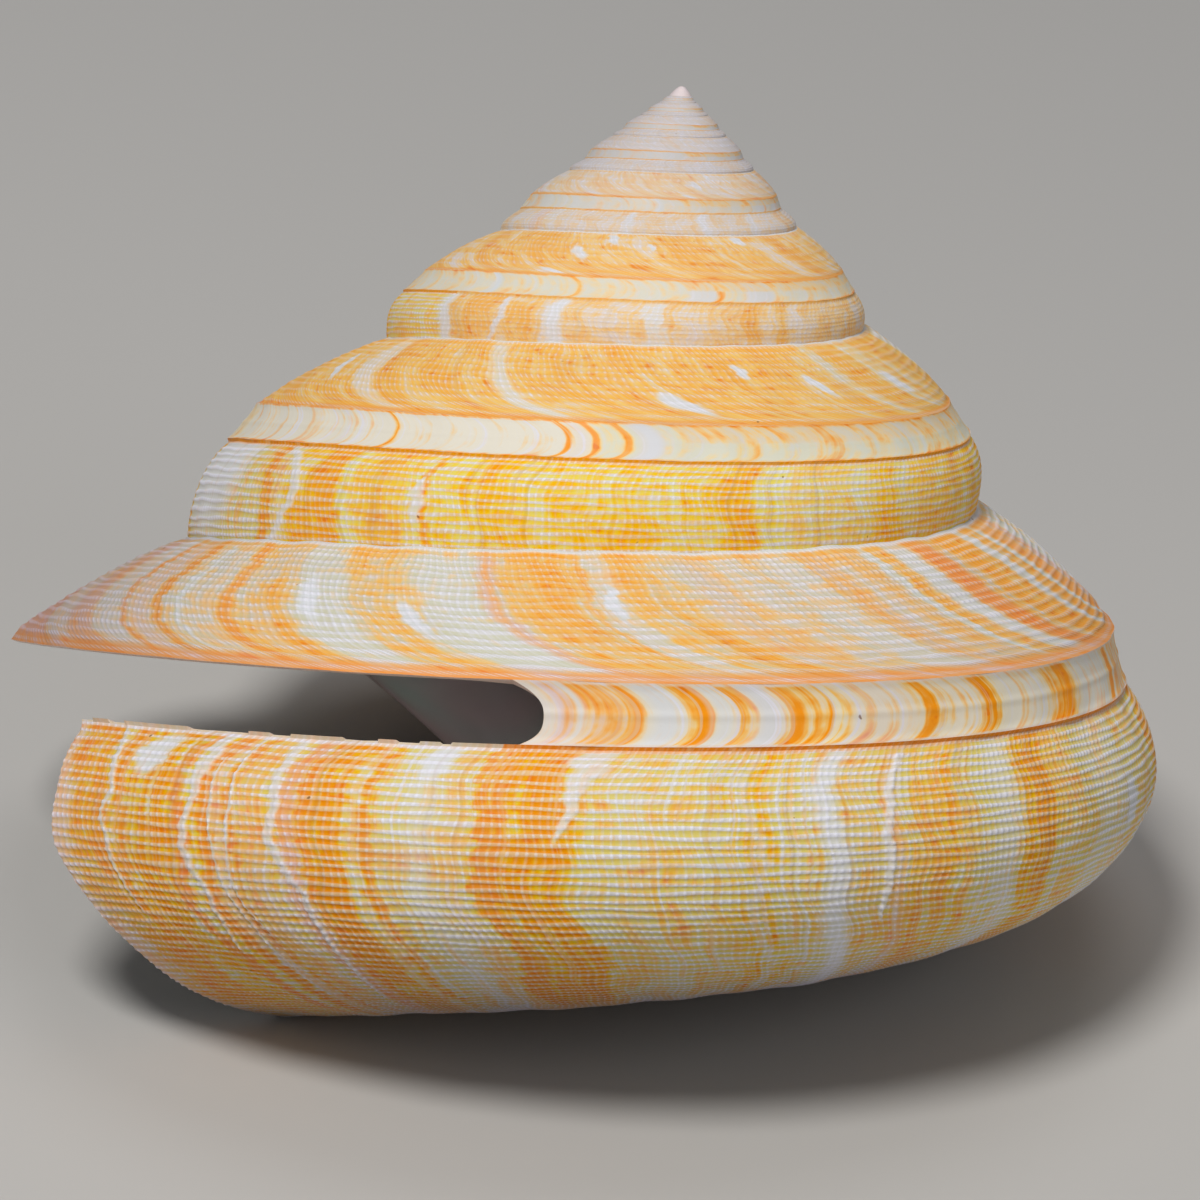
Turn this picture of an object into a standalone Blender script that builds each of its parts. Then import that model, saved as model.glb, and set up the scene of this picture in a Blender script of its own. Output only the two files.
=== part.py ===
"""Slit shell: one right-handed sea shell, wound as a low cone, with a long slit cut back from its lip.

The shell is one closed body. Its surface is drawn by one growing edge, the lip, that runs from the suture over
the sloping ramp and the slit band, round the side and under the base to the columella. The edge turns about the
shell's axis while it grows. Rows follow the spiral and columns follow the growth lines, so that the lip and the
slit lie on columns and rows. A turn counts from the front of the last whorl: 0 is at the front, -1 is a whorl
earlier, and about 0.3 is where the lip ends. The hollow of the last one and a half whorls is open at the lip.
"""

from math import cos, exp, pi, radians, sin

import bmesh
import bpy
from mathutils import Matrix, Vector

MM = 0.001

# Suture, the spiral line where a whorl meets the one before it: radius and depth under the apex at turn 0, with
# the growth per turn, how fast the growth changes, and how fast that changes.
SUTURE_RADIUS = 25.0 * MM
SUTURE_RADIUS_GROWTH = (0.519, 0.0211, 0.0032)
SUTURE_DEPTH = 28.6 * MM
SUTURE_DEPTH_GROWTH = (0.578, 0.016, 0.0008)
LAST_CURVED_TURN = 0.3
APEX_DEPTH = 0.6 * MM

# Edges of the slit band in a frame whose first axis runs from a suture to the next one, and whose second axis
# points out of the shell: value at turn 0, change per turn, and change of that.
BAND_TOP_ALONG = (0.420, -0.116, -0.0325)
BAND_TOP_OUT = (0.134, -0.0554, -0.0273)
BAND_FOOT_ALONG = (0.540, -0.184, -0.0494)
BAND_FOOT_OUT = (0.071, -0.141, -0.055)
OLDEST_BAND_TURN = -3.0
RAMP_BULGE = 0.043

# Side and base: an elliptical arc under the slit band, as shares of the radius of the band's lower edge, then a
# nearly flat base up to the columella.
SIDE_CENTRE_OUT = -0.42
SIDE_CENTRE_DOWN = 0.18
SIDE_HALF_WIDTH = 0.50
SIDE_HALF_HEIGHT = 0.315
BASE_DOWN = 0.505

# Growing edge: each row has a place and how far it trails the suture, in degrees about the axis. A ramp row's
# place is its share of the way from suture to slit band, a side row's its angle on the elliptical arc, and a base
# row's its distance from the axis as a share of the band's radius, and then the share by which it is drawn down to
# the columella's foot.
RAMP_ROWS = ((0.0, 0.0), (0.30, 3.5), (0.62, 8.5), (0.88, 17.0), (1.0, 25.0))
BAND_MIDDLE_TRAIL = 26.5
UPPER_SIDE_ROWS = ((-34, 24.0), (-26, 20.5), (-11, 21.5), (5, 22.5))
LOWER_SIDE_ROWS = ((15, 22.5), (27, 26.0), (42, 28.5), (60, 30.5), (80, 32.0))
SIDE_ROWS = UPPER_SIDE_ROWS + LOWER_SIDE_ROWS
BASE_ROWS = ((0.40, 33.0, 0.40), (0.22, 34.0, 0.75), (0.11, 34.5, 0.92))
ARC_FOOT_ANGLE = 90
FOOT_DEPTH = 51.0 * MM
FOOT_TURNS = (-0.86, -0.70)

# Columns: how many make a turn, and the turn of column 0. The suture row of a whorl is the cover row of the whorl
# before it, COVER_SHIFT columns on.
COLUMNS = 48
COVER_SHIFT = 3
COLUMN_ZERO_TURN = 0.00625
FIRST_COLUMN = -5 * COLUMNS
UPPER_LIP = 14
LOWER_LIP = 10
LIP_CORNER_LEAD_DEGREES = 6.2
SLIT_END = 4
DEEP_END = LOWER_LIP - 3 * COLUMNS // 2

WALL = 1.15 * MM
LIP_WALL = 0.75 * MM
LIP_THINNING_TURNS = (-0.15, 0.15)
PLAIN_SIDE_TURNS = (-0.69, -0.42)

# The shell lies on its base, with its axis tipped back: the lip and the back of the last whorl touch the ground.
LEAN_DEGREES = 0.8
NOD_DEGREES = -20.6

MERGE_DISTANCE = 0.0001 * MM
SHARP_DEGREES = 50
SHELL_COLOUR = (0.87, 0.62, 0.36, 1.0)
SHELL_ROUGHNESS = 0.45

BAND_TOP_ROW = len(RAMP_ROWS) - 1
BAND_FOOT_ROW = BAND_TOP_ROW + 2
COVER_ROW = BAND_FOOT_ROW + 3
UNDER_ROW = COVER_ROW + 1
LAST_ROW = BAND_FOOT_ROW + len(SIDE_ROWS) - 1 + len(BASE_ROWS)


def ease(value, low, high):
    """0 below low, 1 above high, and a smooth step between them."""
    share = min(1.0, max(0.0, (value - low) / (high - low)))
    return share * share * (3 - 2 * share)


def grown(size, growth, turn):
    """A length after some turns of growth; past the lip the growth goes on at its last rate."""
    curved = min(turn, LAST_CURVED_TURN)
    rate, change, twist = growth
    power = rate * curved + change * curved**2 + twist * curved**3
    last_rate = rate + 2 * change * curved + 3 * twist * curved**2
    return size * exp(power + last_rate * (turn - curved))


def suture(turn):
    """Distance from the axis and depth under the apex."""
    return Vector((grown(SUTURE_RADIUS, SUTURE_RADIUS_GROWTH, turn), grown(SUTURE_DEPTH, SUTURE_DEPTH_GROWTH, turn)))


def outward(direction):
    """The normal of a direction that runs down the outside of the shell, pointing out."""
    return Vector((direction.y, -direction.x))


def band_edge(turn, along, out):
    start = suture(turn)
    chord = suture(turn + 1) - start
    age = max(turn, OLDEST_BAND_TURN)
    shares = [value + change * age + bend * age * age for value, change, bend in (along, out)]
    return start + chord * shares[0] + outward(chord) * shares[1]


def arc_point(turn, degrees):
    foot = band_edge(turn, BAND_FOOT_ALONG, BAND_FOOT_OUT)
    angle = radians(degrees)
    out = SIDE_CENTRE_OUT + SIDE_HALF_WIDTH * cos(angle)
    down = SIDE_CENTRE_DOWN + SIDE_HALF_HEIGHT * sin(angle)
    return foot + foot.x * Vector((out, down))


def profile(row, turn):
    """Distance from the axis and depth under the apex of one row of the growing edge."""
    top = band_edge(turn, BAND_TOP_ALONG, BAND_TOP_OUT)
    foot = band_edge(turn, BAND_FOOT_ALONG, BAND_FOOT_OUT)
    if row <= BAND_TOP_ROW:
        share = RAMP_ROWS[row][0]
        start = suture(turn)
        bulge = RAMP_BULGE * 4 * share * (1 - share)
        return start + (top - start) * share + outward(top - start) * bulge
    if row < BAND_FOOT_ROW:
        return (top + foot) / 2
    if row == BAND_FOOT_ROW:
        return foot
    cover_angle = SIDE_ROWS[COVER_ROW - BAND_FOOT_ROW][0]
    tuck = suture(turn + 1) - arc_point(turn, cover_angle)
    tuck *= 1 - ease(turn, *PLAIN_SIDE_TURNS)
    side_row = row - BAND_FOOT_ROW
    if side_row < len(SIDE_ROWS):
        degrees = SIDE_ROWS[side_row][0]
        share = ease(degrees, SIDE_ROWS[0][0], cover_angle)
        fade = 1 - ease(degrees, cover_angle, ARC_FOOT_ANGLE)
        return arc_point(turn, degrees) + tuck * share * fade
    share, _, drawn = BASE_ROWS[side_row - len(SIDE_ROWS)]
    depth = foot.y + foot.x * BASE_DOWN
    depth += (FOOT_DEPTH - depth) * drawn * ease(turn, *FOOT_TURNS)
    return Vector((foot.x * share, depth))


def trail(row):
    """How far a row trails the suture, in turns."""
    if row <= BAND_TOP_ROW:
        degrees = RAMP_ROWS[row][1]
    elif row < BAND_FOOT_ROW:
        degrees = BAND_MIDDLE_TRAIL
    else:
        degrees = (SIDE_ROWS + BASE_ROWS)[row - BAND_FOOT_ROW][1]
    return degrees / 360


def turned(point, turn):
    """A profile point put at its turn about the axis: the front is -Y, and growth runs to -X."""
    angle = 2 * pi * turn
    return Vector((-point.x * sin(angle), -point.x * cos(angle), -point.y))


def turn_at(row, column):
    """The turn at which a row crosses a column. The lip's corner under the slit stands further on than its column."""
    lead = LIP_CORNER_LEAD_DEGREES / 360 if (row, column) == (BAND_FOOT_ROW, LOWER_LIP) else 0
    return COLUMN_ZERO_TURN + column / COLUMNS - trail(row) + lead


def outer_place(row, column):
    turn = turn_at(row, column)
    if row == 0 and column < FIRST_COLUMN + COLUMNS - COVER_SHIFT:
        return Vector((0, 0, -APEX_DEPTH))
    return turned(profile(row, turn), turn)


def inner_place(row, column):
    """The inside of the wall. Its top row lies on the whorl before, just under the suture."""
    if row == 0:
        return outer_place(UNDER_ROW, column - COLUMNS + COVER_SHIFT)
    turn = turn_at(row, column)
    thickness = WALL + (LIP_WALL - WALL) * ease(turn, *LIP_THINNING_TURNS)
    before = profile(row - 1, turn)
    after = profile(min(row + 1, LAST_ROW), turn)
    direction = (after - before).normalized()
    return turned(profile(row, turn) - outward(direction) * thickness, turn)


def sheet(shell, first_column, last_column, place):
    """A grid of faces whose vertices are put in their places. Returns the vertices by row and column."""
    columns = last_column - first_column
    made = bmesh.ops.create_grid(shell, x_segments=columns, y_segments=LAST_ROW, size=1)
    vertices = {}
    for vertex in made["verts"]:
        column = first_column + round((vertex.co.x + 1) / 2 * columns)
        row = round((vertex.co.y + 1) / 2 * LAST_ROW)
        vertices[row, column] = vertex
    for (row, column), vertex in vertices.items():
        vertex.co = place(row, column)
    return vertices


def face_exists(row, column, inner):
    """Whether the shell has the face that starts at this row and column of its outer or inner sheet."""
    if row < BAND_TOP_ROW:
        return column < UPPER_LIP
    if row < BAND_FOOT_ROW:
        return column < SLIT_END
    if column >= LOWER_LIP:
        return False
    if inner or row < COVER_ROW:
        return True
    if row < UNDER_ROW:
        return column >= UPPER_LIP - COLUMNS + COVER_SHIFT
    return column >= DEEP_END - COLUMNS


def trim(shell, vertices, inner):
    """Deletes the faces that the shell doesn't have, with the vertices that this leaves loose."""
    places = {vertex: place for place, vertex in vertices.items()}
    gone = []
    for face in {face for vertex in vertices.values() for face in vertex.link_faces}:
        corners = [places[vertex] for vertex in face.verts]
        row = min(corner[0] for corner in corners)
        column = min(corner[1] for corner in corners)
        if not face_exists(row, column, inner):
            gone.append(face)
    bmesh.ops.delete(shell, geom=gone, context="FACES")


def lip_path():
    """Rows and columns along the lip: down the ramp, round the slit, and down the side to the columella."""
    path = [(row, UPPER_LIP) for row in range(BAND_TOP_ROW)]
    path += [(BAND_TOP_ROW, column) for column in range(UPPER_LIP, SLIT_END, -1)]
    path += [(row, SLIT_END) for row in range(BAND_TOP_ROW, BAND_FOOT_ROW)]
    path += [(BAND_FOOT_ROW, column) for column in range(SLIT_END, LOWER_LIP)]
    path += [(row, LOWER_LIP) for row in range(BAND_FOOT_ROW, LAST_ROW + 1)]
    return path


def bridge(shell, first, second):
    """A strip of faces between two open chains of vertices."""
    edges = []
    for chain in (first, second):
        edges += [shell.edges.get(pair) for pair in zip(chain, chain[1:])]
    bmesh.ops.bridge_loops(shell, edges=edges)


def close_columella(shell):
    """Fills the loops still open, each as a fan. The fan under the base meets on the axis."""
    rim = [edge for edge in shell.edges if edge.is_boundary]
    filled = bmesh.ops.holes_fill(shell, edges=rim, sides=0)["faces"]
    fans = [face for face in filled if len(face.verts) > COLUMNS // 4]
    tips = bmesh.ops.poke(shell, faces=fans)["verts"]
    lowest = min(tips, key=lambda vertex: vertex.co.z)
    lowest.co = (0, 0, -FOOT_DEPTH)


def stand(shell):
    """Leans the shell as it rests, sets its lowest point on the ground, and centres it over the origin."""
    tilt = Matrix.Rotation(radians(LEAN_DEGREES), 4, "Y") @ Matrix.Rotation(radians(NOD_DEGREES), 4, "X")
    bmesh.ops.transform(shell, matrix=tilt, verts=shell.verts)
    lows = [min(vertex.co[axis] for vertex in shell.verts) for axis in range(3)]
    highs = [max(vertex.co[axis] for vertex in shell.verts) for axis in range(3)]
    centre = Vector(((lows[0] + highs[0]) / 2, (lows[1] + highs[1]) / 2, lows[2]))
    bmesh.ops.translate(shell, vec=-centre, verts=shell.verts)


def shell_material():
    material = bpy.data.materials.new("shell")
    material.use_nodes = True
    shader = material.node_tree.nodes["Principled BSDF"]
    shader.inputs["Base Color"].default_value = SHELL_COLOUR
    shader.inputs["Roughness"].default_value = SHELL_ROUGHNESS
    shader.inputs["Metallic"].default_value = 0.0
    return material


def make_shell():
    shell = bmesh.new()
    outer = sheet(shell, FIRST_COLUMN, UPPER_LIP, outer_place)
    inner = sheet(shell, DEEP_END, UPPER_LIP, inner_place)
    trim(shell, outer, False)
    trim(shell, inner, True)
    path = lip_path()
    bridge(shell, [outer[place] for place in path], [inner[place] for place in path])
    hollow = range(DEEP_END, LOWER_LIP + 1)
    bridge(
        shell,
        [outer[LAST_ROW, column - COLUMNS] for column in hollow],
        [inner[LAST_ROW, column] for column in hollow],
    )
    bmesh.ops.remove_doubles(shell, verts=shell.verts, dist=MERGE_DISTANCE)
    close_columella(shell)
    stand(shell)
    bmesh.ops.triangulate(shell, faces=shell.faces)
    bmesh.ops.recalc_face_normals(shell, faces=shell.faces)
    mesh = bpy.data.meshes.new("shell")
    shell.to_mesh(mesh)
    shell.free()
    mesh.shade_smooth()
    mesh.set_sharp_from_angle(angle=radians(SHARP_DEGREES))
    mesh.materials.append(shell_material())
    body = bpy.data.objects.new("shell", mesh)
    bpy.context.scene.collection.objects.link(body)
    return body


for leftover in list(bpy.data.objects):
    bpy.data.objects.remove(leftover)

make_shell()
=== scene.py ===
# %% [markdown]
# # Slit shell
# A slit shell is one spiral of lime. Its lip is the only place that grows: it turns about the shell's
# axis and widens as it goes, so every point of the surface has two addresses, how old it is and where it
# lay on the lip. This lesson models the surface in those two addresses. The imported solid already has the
# true outline, and here it is made again much finer, with its cords, beads, slit band and pearl, from the
# same growth laws. Lengths are in metres and depths run down from the tip. Ages count in turns from the
# front of the last whorl, unless they are said to be in degrees.

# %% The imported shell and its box
from itertools import product
from math import cos, pi, radians, sin

import bmesh
import bpy
import numpy as np
from mathutils import Matrix, Vector


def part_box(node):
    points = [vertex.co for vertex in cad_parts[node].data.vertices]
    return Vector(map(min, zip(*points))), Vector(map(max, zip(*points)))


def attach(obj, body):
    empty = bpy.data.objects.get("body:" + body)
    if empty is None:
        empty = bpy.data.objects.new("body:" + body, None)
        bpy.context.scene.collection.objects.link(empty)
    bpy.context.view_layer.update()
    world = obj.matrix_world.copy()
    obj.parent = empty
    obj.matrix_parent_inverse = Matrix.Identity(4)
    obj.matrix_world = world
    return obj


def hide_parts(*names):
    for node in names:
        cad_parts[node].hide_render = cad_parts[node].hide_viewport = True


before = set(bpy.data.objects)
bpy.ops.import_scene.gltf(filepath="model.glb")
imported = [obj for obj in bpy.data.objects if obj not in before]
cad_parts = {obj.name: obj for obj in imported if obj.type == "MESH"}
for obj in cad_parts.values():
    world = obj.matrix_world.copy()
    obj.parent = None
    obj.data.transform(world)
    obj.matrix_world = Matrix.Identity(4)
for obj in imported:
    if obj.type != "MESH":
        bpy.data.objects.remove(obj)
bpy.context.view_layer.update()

MM = 0.001

# %% [markdown]
# ## How the shell grows
# The suture is the spiral line where a whorl meets the one before it. Its distance from the axis and its
# depth under the tip grow by a nearly constant share per turn, which is a logarithmic spiral; two small
# terms let the growth change with age. Both edges of the slit band are given in a frame that spans one
# suture to the next, so they keep their place on every whorl. A spiral made with the Screw modifier would
# keep one profile size and one growth rate, so the points are worked out here instead.

# %% Growth laws
SUTURE_RADIUS = 25.0 * MM
SUTURE_RADIUS_GROWTH = (0.519, 0.0211, 0.0032)
SUTURE_DEPTH = 28.6 * MM
SUTURE_DEPTH_GROWTH = (0.578, 0.016, 0.0008)
LAST_CURVED_TURN = 0.3
BAND_TOP_ALONG = (0.420, -0.116, -0.0325)
BAND_TOP_OUT = (0.134, -0.0554, -0.0273)
BAND_FOOT_ALONG = (0.540, -0.184, -0.0494)
BAND_FOOT_OUT = (0.071, -0.141, -0.055)
OLDEST_BAND_TURN = -3.0


def ease(value, low, high):
    """0 below low, 1 above high, and a smooth step between them."""
    share = np.clip((value - low) / (high - low), 0.0, 1.0)
    return share * share * (3 - 2 * share)


def grown(size, growth, turn):
    """A length after some turns of growth; past the lip the growth goes on at its last rate."""
    curved = np.minimum(turn, LAST_CURVED_TURN)
    rate, change, twist = growth
    power = rate * curved + change * curved**2 + twist * curved**3
    last_rate = rate + 2 * change * curved + 3 * twist * curved**2
    return size * np.exp(power + last_rate * (turn - curved))


def suture(turn):
    """Distance from the axis and depth under the tip, for any number of turns at once."""
    radius = grown(SUTURE_RADIUS, SUTURE_RADIUS_GROWTH, turn)
    return np.stack([radius, grown(SUTURE_DEPTH, SUTURE_DEPTH_GROWTH, turn)], axis=-1)


def outward(direction):
    """The normal of a direction that runs down the outside of the shell, pointing out."""
    return np.stack([direction[..., 1], -direction[..., 0]], axis=-1)


def band_edge(turn, along, out):
    start = suture(turn)
    chord = suture(turn + 1) - start
    age = np.maximum(turn, OLDEST_BAND_TURN)
    shares = [value + change * age + bend * age * age for value, change, bend in (along, out)]
    return start + chord * shares[0][..., None] + outward(chord) * shares[1][..., None]


for whorl in range(4):
    radius, depth = suture(np.array(float(-whorl))) / MM
    print(f"suture {whorl} whorls back: radius {radius:.1f} mm, depth {depth:.1f} mm")

# %% [markdown]
# ## The growing edge
# The lip of this shell has four stretches: the sloping ramp from the suture to the slit band, the band,
# the round side, and the flat base in to the columella. Places along it are counted in cords, the fine
# ridges that follow the spiral, because a real shell keeps nearly the same number of them while it grows.
# The side is an ellipse, and its cords are spaced evenly by arc length. The lip is not straight either:
# it trails back from the suture to the slit, and these trails are what bends the growth lines on the
# ramp.

# %% Places along the growing edge, counted in cords
RAMP_CORDS = 18
BAND_WIDTH = 4
SIDE_CORDS = 48
BASE_CORDS = 40
BAND_TOP = RAMP_CORDS
BAND_FOOT = BAND_TOP + BAND_WIDTH
SIDE_END = BAND_FOOT + SIDE_CORDS
EDGE_END = SIDE_END + BASE_CORDS

RAMP_BULGE = 0.043
SIDE_CENTRE_OUT = -0.42
SIDE_CENTRE_DOWN = 0.18
SIDE_HALF_WIDTH = 0.50
SIDE_HALF_HEIGHT = 0.315
SIDE_FIRST_ANGLE = -34
SIDE_LAST_ANGLE = 80
COVER_ANGLE = 5
ARC_FOOT_ANGLE = 90
BASE_DOWN = 0.505
BASE_END_SHARE = 0.11
FOOT_DEPTH = 51.0 * MM
FOOT_DRAW = 0.92
FOOT_DRAW_POWER = 1.1
FOOT_TURNS = (-0.86, -0.70)
PLAIN_SIDE_TURNS = (-0.69, -0.42)

RAMP_TRAILS = ((0.0, 0.0), (0.30, 3.5), (0.62, 8.5), (0.88, 17.0), (1.0, 25.0))
BAND_TRAIL = 27.5
BAND_TRAIL_CENTRE = 0.25
BAND_TRAIL_ROUND = (3.5, 2.0)
BAND_TRAIL_POWER = 2.6
SIDE_TRAILS = (
    (-34, 22.8), (-26, 21.3), (-11, 21.3), (5, 22.3), (15, 22.8),
    (27, 24.7), (42, 26.9), (60, 28.9), (80, 30.6),
)
BASE_TRAIL = 2.5

arc_angles = np.linspace(SIDE_FIRST_ANGLE, SIDE_LAST_ANGLE, 400)
arc_speed = np.hypot(
    SIDE_HALF_WIDTH * np.sin(np.radians(arc_angles)), SIDE_HALF_HEIGHT * np.cos(np.radians(arc_angles))
)
arc_lengths = np.concatenate([[0], np.cumsum((arc_speed[1:] + arc_speed[:-1]) / 2)])
arc_cords = BAND_FOOT + SIDE_CORDS * arc_lengths / arc_lengths[-1]


def smooth_through(points, at):
    """A smooth line through a few (place, value) points, read at many places."""
    places, values = np.array(points, float).T
    slopes = np.gradient(values, places)
    at = np.clip(at, places[0], places[-1])
    index = np.clip(np.searchsorted(places, at) - 1, 0, len(places) - 2)
    width = places[index + 1] - places[index]
    share = (at - places[index]) / width
    rise = values[index] * (1 + 2 * share) * (1 - share) ** 2 + values[index + 1] * share**2 * (3 - 2 * share)
    return rise + width * share * (1 - share) * (slopes[index] * (1 - share) - slopes[index + 1] * share)


def side_angle(cord):
    return np.interp(cord, arc_cords, arc_angles)


def arc_point(foot, degrees):
    angle = np.radians(degrees)
    out = SIDE_CENTRE_OUT + SIDE_HALF_WIDTH * np.cos(angle)
    down = SIDE_CENTRE_DOWN + SIDE_HALF_HEIGHT * np.sin(angle)
    return foot + foot[..., :1] * np.stack([out, down], axis=-1)


def ramp_point(cord, start, top):
    share = (cord / RAMP_CORDS)[..., None]
    return start + (top - start) * share + outward(top - start) * RAMP_BULGE * 4 * share * (1 - share)


def side_point(degrees, turn, foot):
    tuck = suture(turn + 1) - arc_point(foot, np.full_like(turn, COVER_ANGLE))
    share = ease(degrees, SIDE_FIRST_ANGLE, COVER_ANGLE) * (1 - ease(degrees, COVER_ANGLE, ARC_FOOT_ANGLE))
    return arc_point(foot, degrees) + tuck * (share * (1 - ease(turn, *PLAIN_SIDE_TURNS)))[..., None]


def base_point(cord, turn, foot):
    rim = side_point(np.full_like(turn, SIDE_LAST_ANGLE), turn, foot)
    share = np.clip((cord - SIDE_END) / BASE_CORDS, 0, None)
    end_radius = foot[..., 0] * BASE_END_SHARE
    radius = rim[..., 0] + (end_radius - rim[..., 0]) * share
    flat_depth = foot[..., 1] + foot[..., 0] * BASE_DOWN
    depth = rim[..., 1] + (flat_depth - rim[..., 1]) * (1 - (1 - np.minimum(share, 1)) ** 2)
    depth += (FOOT_DEPTH - depth) * FOOT_DRAW * share**FOOT_DRAW_POWER * ease(turn, *FOOT_TURNS)
    return np.stack([radius, depth], axis=-1)


def edge_point(cord, turn):
    """Distance from the axis and depth under the tip of places on the growing edge."""
    start = suture(turn)
    top = band_edge(turn, BAND_TOP_ALONG, BAND_TOP_OUT)
    foot = band_edge(turn, BAND_FOOT_ALONG, BAND_FOOT_OUT)
    band_share = ((cord - BAND_TOP) / BAND_WIDTH)[..., None]
    stretches = [
        (BAND_TOP, ramp_point(cord, start, top)),
        (BAND_FOOT, top + (foot - top) * band_share),
        (SIDE_END, side_point(side_angle(cord), turn, foot)),
    ]
    point = base_point(cord, turn, foot)
    for end, stretch in reversed(stretches):
        point = np.where((cord <= end)[..., None], stretch, point)
    return point


def edge_trail(cord):
    """How far a place trails the suture, in turns."""
    degrees = SIDE_TRAILS[-1][1] + BASE_TRAIL * (cord - SIDE_END) / BASE_CORDS
    degrees = np.where(cord <= SIDE_END, smooth_through(SIDE_TRAILS, side_angle(cord)), degrees)
    across = np.clip(2 * (cord - BAND_TOP) / BAND_WIDTH - 1, -1, 1)
    off_centre = across - BAND_TRAIL_CENTRE
    reach = np.where(off_centre < 0, 1 + BAND_TRAIL_CENTRE, 1 - BAND_TRAIL_CENTRE)
    roundness = np.where(off_centre < 0, *BAND_TRAIL_ROUND)
    crescent = roundness * np.clip(np.abs(off_centre / reach), 0, 1) ** BAND_TRAIL_POWER
    degrees = np.where(cord < BAND_FOOT, BAND_TRAIL - crescent, degrees)
    degrees = np.where(cord <= BAND_TOP, smooth_through(RAMP_TRAILS, cord / RAMP_CORDS), degrees)
    return degrees / 360


print("cords from suture to columella:", EDGE_END)

# %% [markdown]
# ## Where the shell lies
# The growth laws stand upright on their axis, and the shell rests tipped back on its base. The same two
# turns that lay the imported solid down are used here, and the shift comes from comparing boxes, so that
# nothing is fitted by eye: the coarse rows and columns of the solid are worked out again and their lowest
# corner is set on its corner.

# %% Resting place
LEAN_DEGREES = 0.8
NOD_DEGREES = -20.6
COLUMNS = 48
COLUMN_ZERO_TURN = 0.00625
UPPER_LIP_AGE = COLUMN_ZERO_TURN + 14 / COLUMNS
LOWER_LIP_AGE = COLUMN_ZERO_TURN + 10 / COLUMNS
SLIT_END_AGE = COLUMN_ZERO_TURN + 4 / COLUMNS
SOLID_SIDE_ANGLES = (-34, -26, -11, 5, 15, 27, 42, 60, 80)

lean = Matrix.Rotation(radians(LEAN_DEGREES), 3, "Y")
tilt = np.array(lean @ Matrix.Rotation(radians(NOD_DEGREES), 3, "X"))


def turned(point, turn):
    """An edge point put at its turn about the axis: the front is -Y, and growth runs to -X."""
    angle = 2 * pi * turn
    return np.stack([-point[..., 0] * np.sin(angle), -point[..., 0] * np.cos(angle), -point[..., 1]], axis=-1)


def solid_rows():
    """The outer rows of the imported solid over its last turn, laid down but not yet shifted."""
    ramp_cords = [share * RAMP_CORDS for share, _ in RAMP_TRAILS]
    side_cords = list(np.interp(SOLID_SIDE_ANGLES, arc_angles, arc_cords))
    rows = []
    for cords, lip in ((ramp_cords, 14), (side_cords, 10)):
        for cord in cords:
            ages = COLUMN_ZERO_TURN + np.arange(lip - COLUMNS, lip + 1) / COLUMNS
            places = np.full_like(ages, cord)
            turn = ages - edge_trail(places)
            rows.append(turned(edge_point(places, turn), turn) @ tilt.T)
    return np.concatenate(rows)


rows = solid_rows()
low, high = (np.array(corner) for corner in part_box("shell"))
shift = low - rows.min(axis=0)
print("box corners differ by (mm):", np.round((rows.max(axis=0) + shift - high) / MM, 3))

# %% [markdown]
# ## Healed breaks
# A crab or a stone now and then broke the lip, and the animal mended it. Each break stays as a white line
# that wanders across the cords, with a small step where the new shell starts lower than the old edge.
# Each line here has the number of whorls back from the lip and a few points: the angle on the round side,
# the age and the half width, all in degrees. They are both relief and paint, as the real ones are, so one
# function serves both.

# %% Healed breaks on the side
FRONT_AGES = (-80, 108)
SCAR_FLATNESS = 1.2
SCAR_STEP_DEGREES = 2
SCARS = (
    (0, (
        (-31, -8.4, 0.3), (-22, -7.7, 0.45), (-12, -6.9, 0.4), (-4, -6.5, 0.5), (11, -6.6, 0.35),
        (24, -5.5, 0.2),
    )),
    (0, (
        (-34, 22.2, 1.4), (-29, 22.8, 1.7), (-24, 23.0, 1.1), (-18, 23.2, 0.6), (-12, 23.9, 0.45),
        (-5, 25, 0.2),
    )),
    (0, (
        (-34, 51.6, 0.5), (-10, 50.8, 0.4), (-1, 51.3, 0.45), (15, 48.5, 0.3), (28, 49.3, 0.3),
        (58, 50.2, 0.2),
    )),
    (0, ((-34, 55.8, 0.12), (-10, 55.3, 0.15), (5, 55.6, 0.12), (30, 55.0, 0.1))),
    (0, ((-26, 57.8, 0.1), (0, 57.2, 0.14), (20, 56.2, 0.12), (50, 56.6, 0.08))),
    (0, (
        (-34, 59.8, 0.6), (-22, 59.4, 0.7), (-12, 59.4, 0.3), (2, 60.4, 0.4), (16, 58.5, 0.3),
        (36, 60.2, 0.15),
    )),
    (0, (
        (-34, 70.8, 0.2), (-24, 70.1, 0.3), (-13, 69.4, 0.3), (-6, 70.3, 0.2), (3, 69.5, 0.3),
        (25, 69.6, 0.15),
    )),
    (1, (
        (-34, 80.0, 0.7), (-28, 77.0, 0.9), (-19, 73.7, 0.9), (-10, 74.2, 0.8), (1, 77.3, 0.6),
        (6, 79.0, 0.6),
    )),
    (1, ((-23, 51.6, 0.2), (-17, 52.1, 0.9), (-11, 52.3, 0.9), (-5, 52.3, 0.5))),
    (2, (
        (-34, 59.8, 0.5), (-28, 59.4, 0.7), (-18, 58.2, 0.9), (-10, 59.7, 0.8), (1, 61.5, 0.6),
        (6, 62.5, 0.5),
    )),
)


def whorl_and_degrees(age):
    """How many whorls back a place lies, and its age there in degrees, 0 at the front."""
    whorl = np.floor(FRONT_AGES[1] / 360 - age).astype(int)
    return whorl, (age + whorl) * 360


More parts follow.
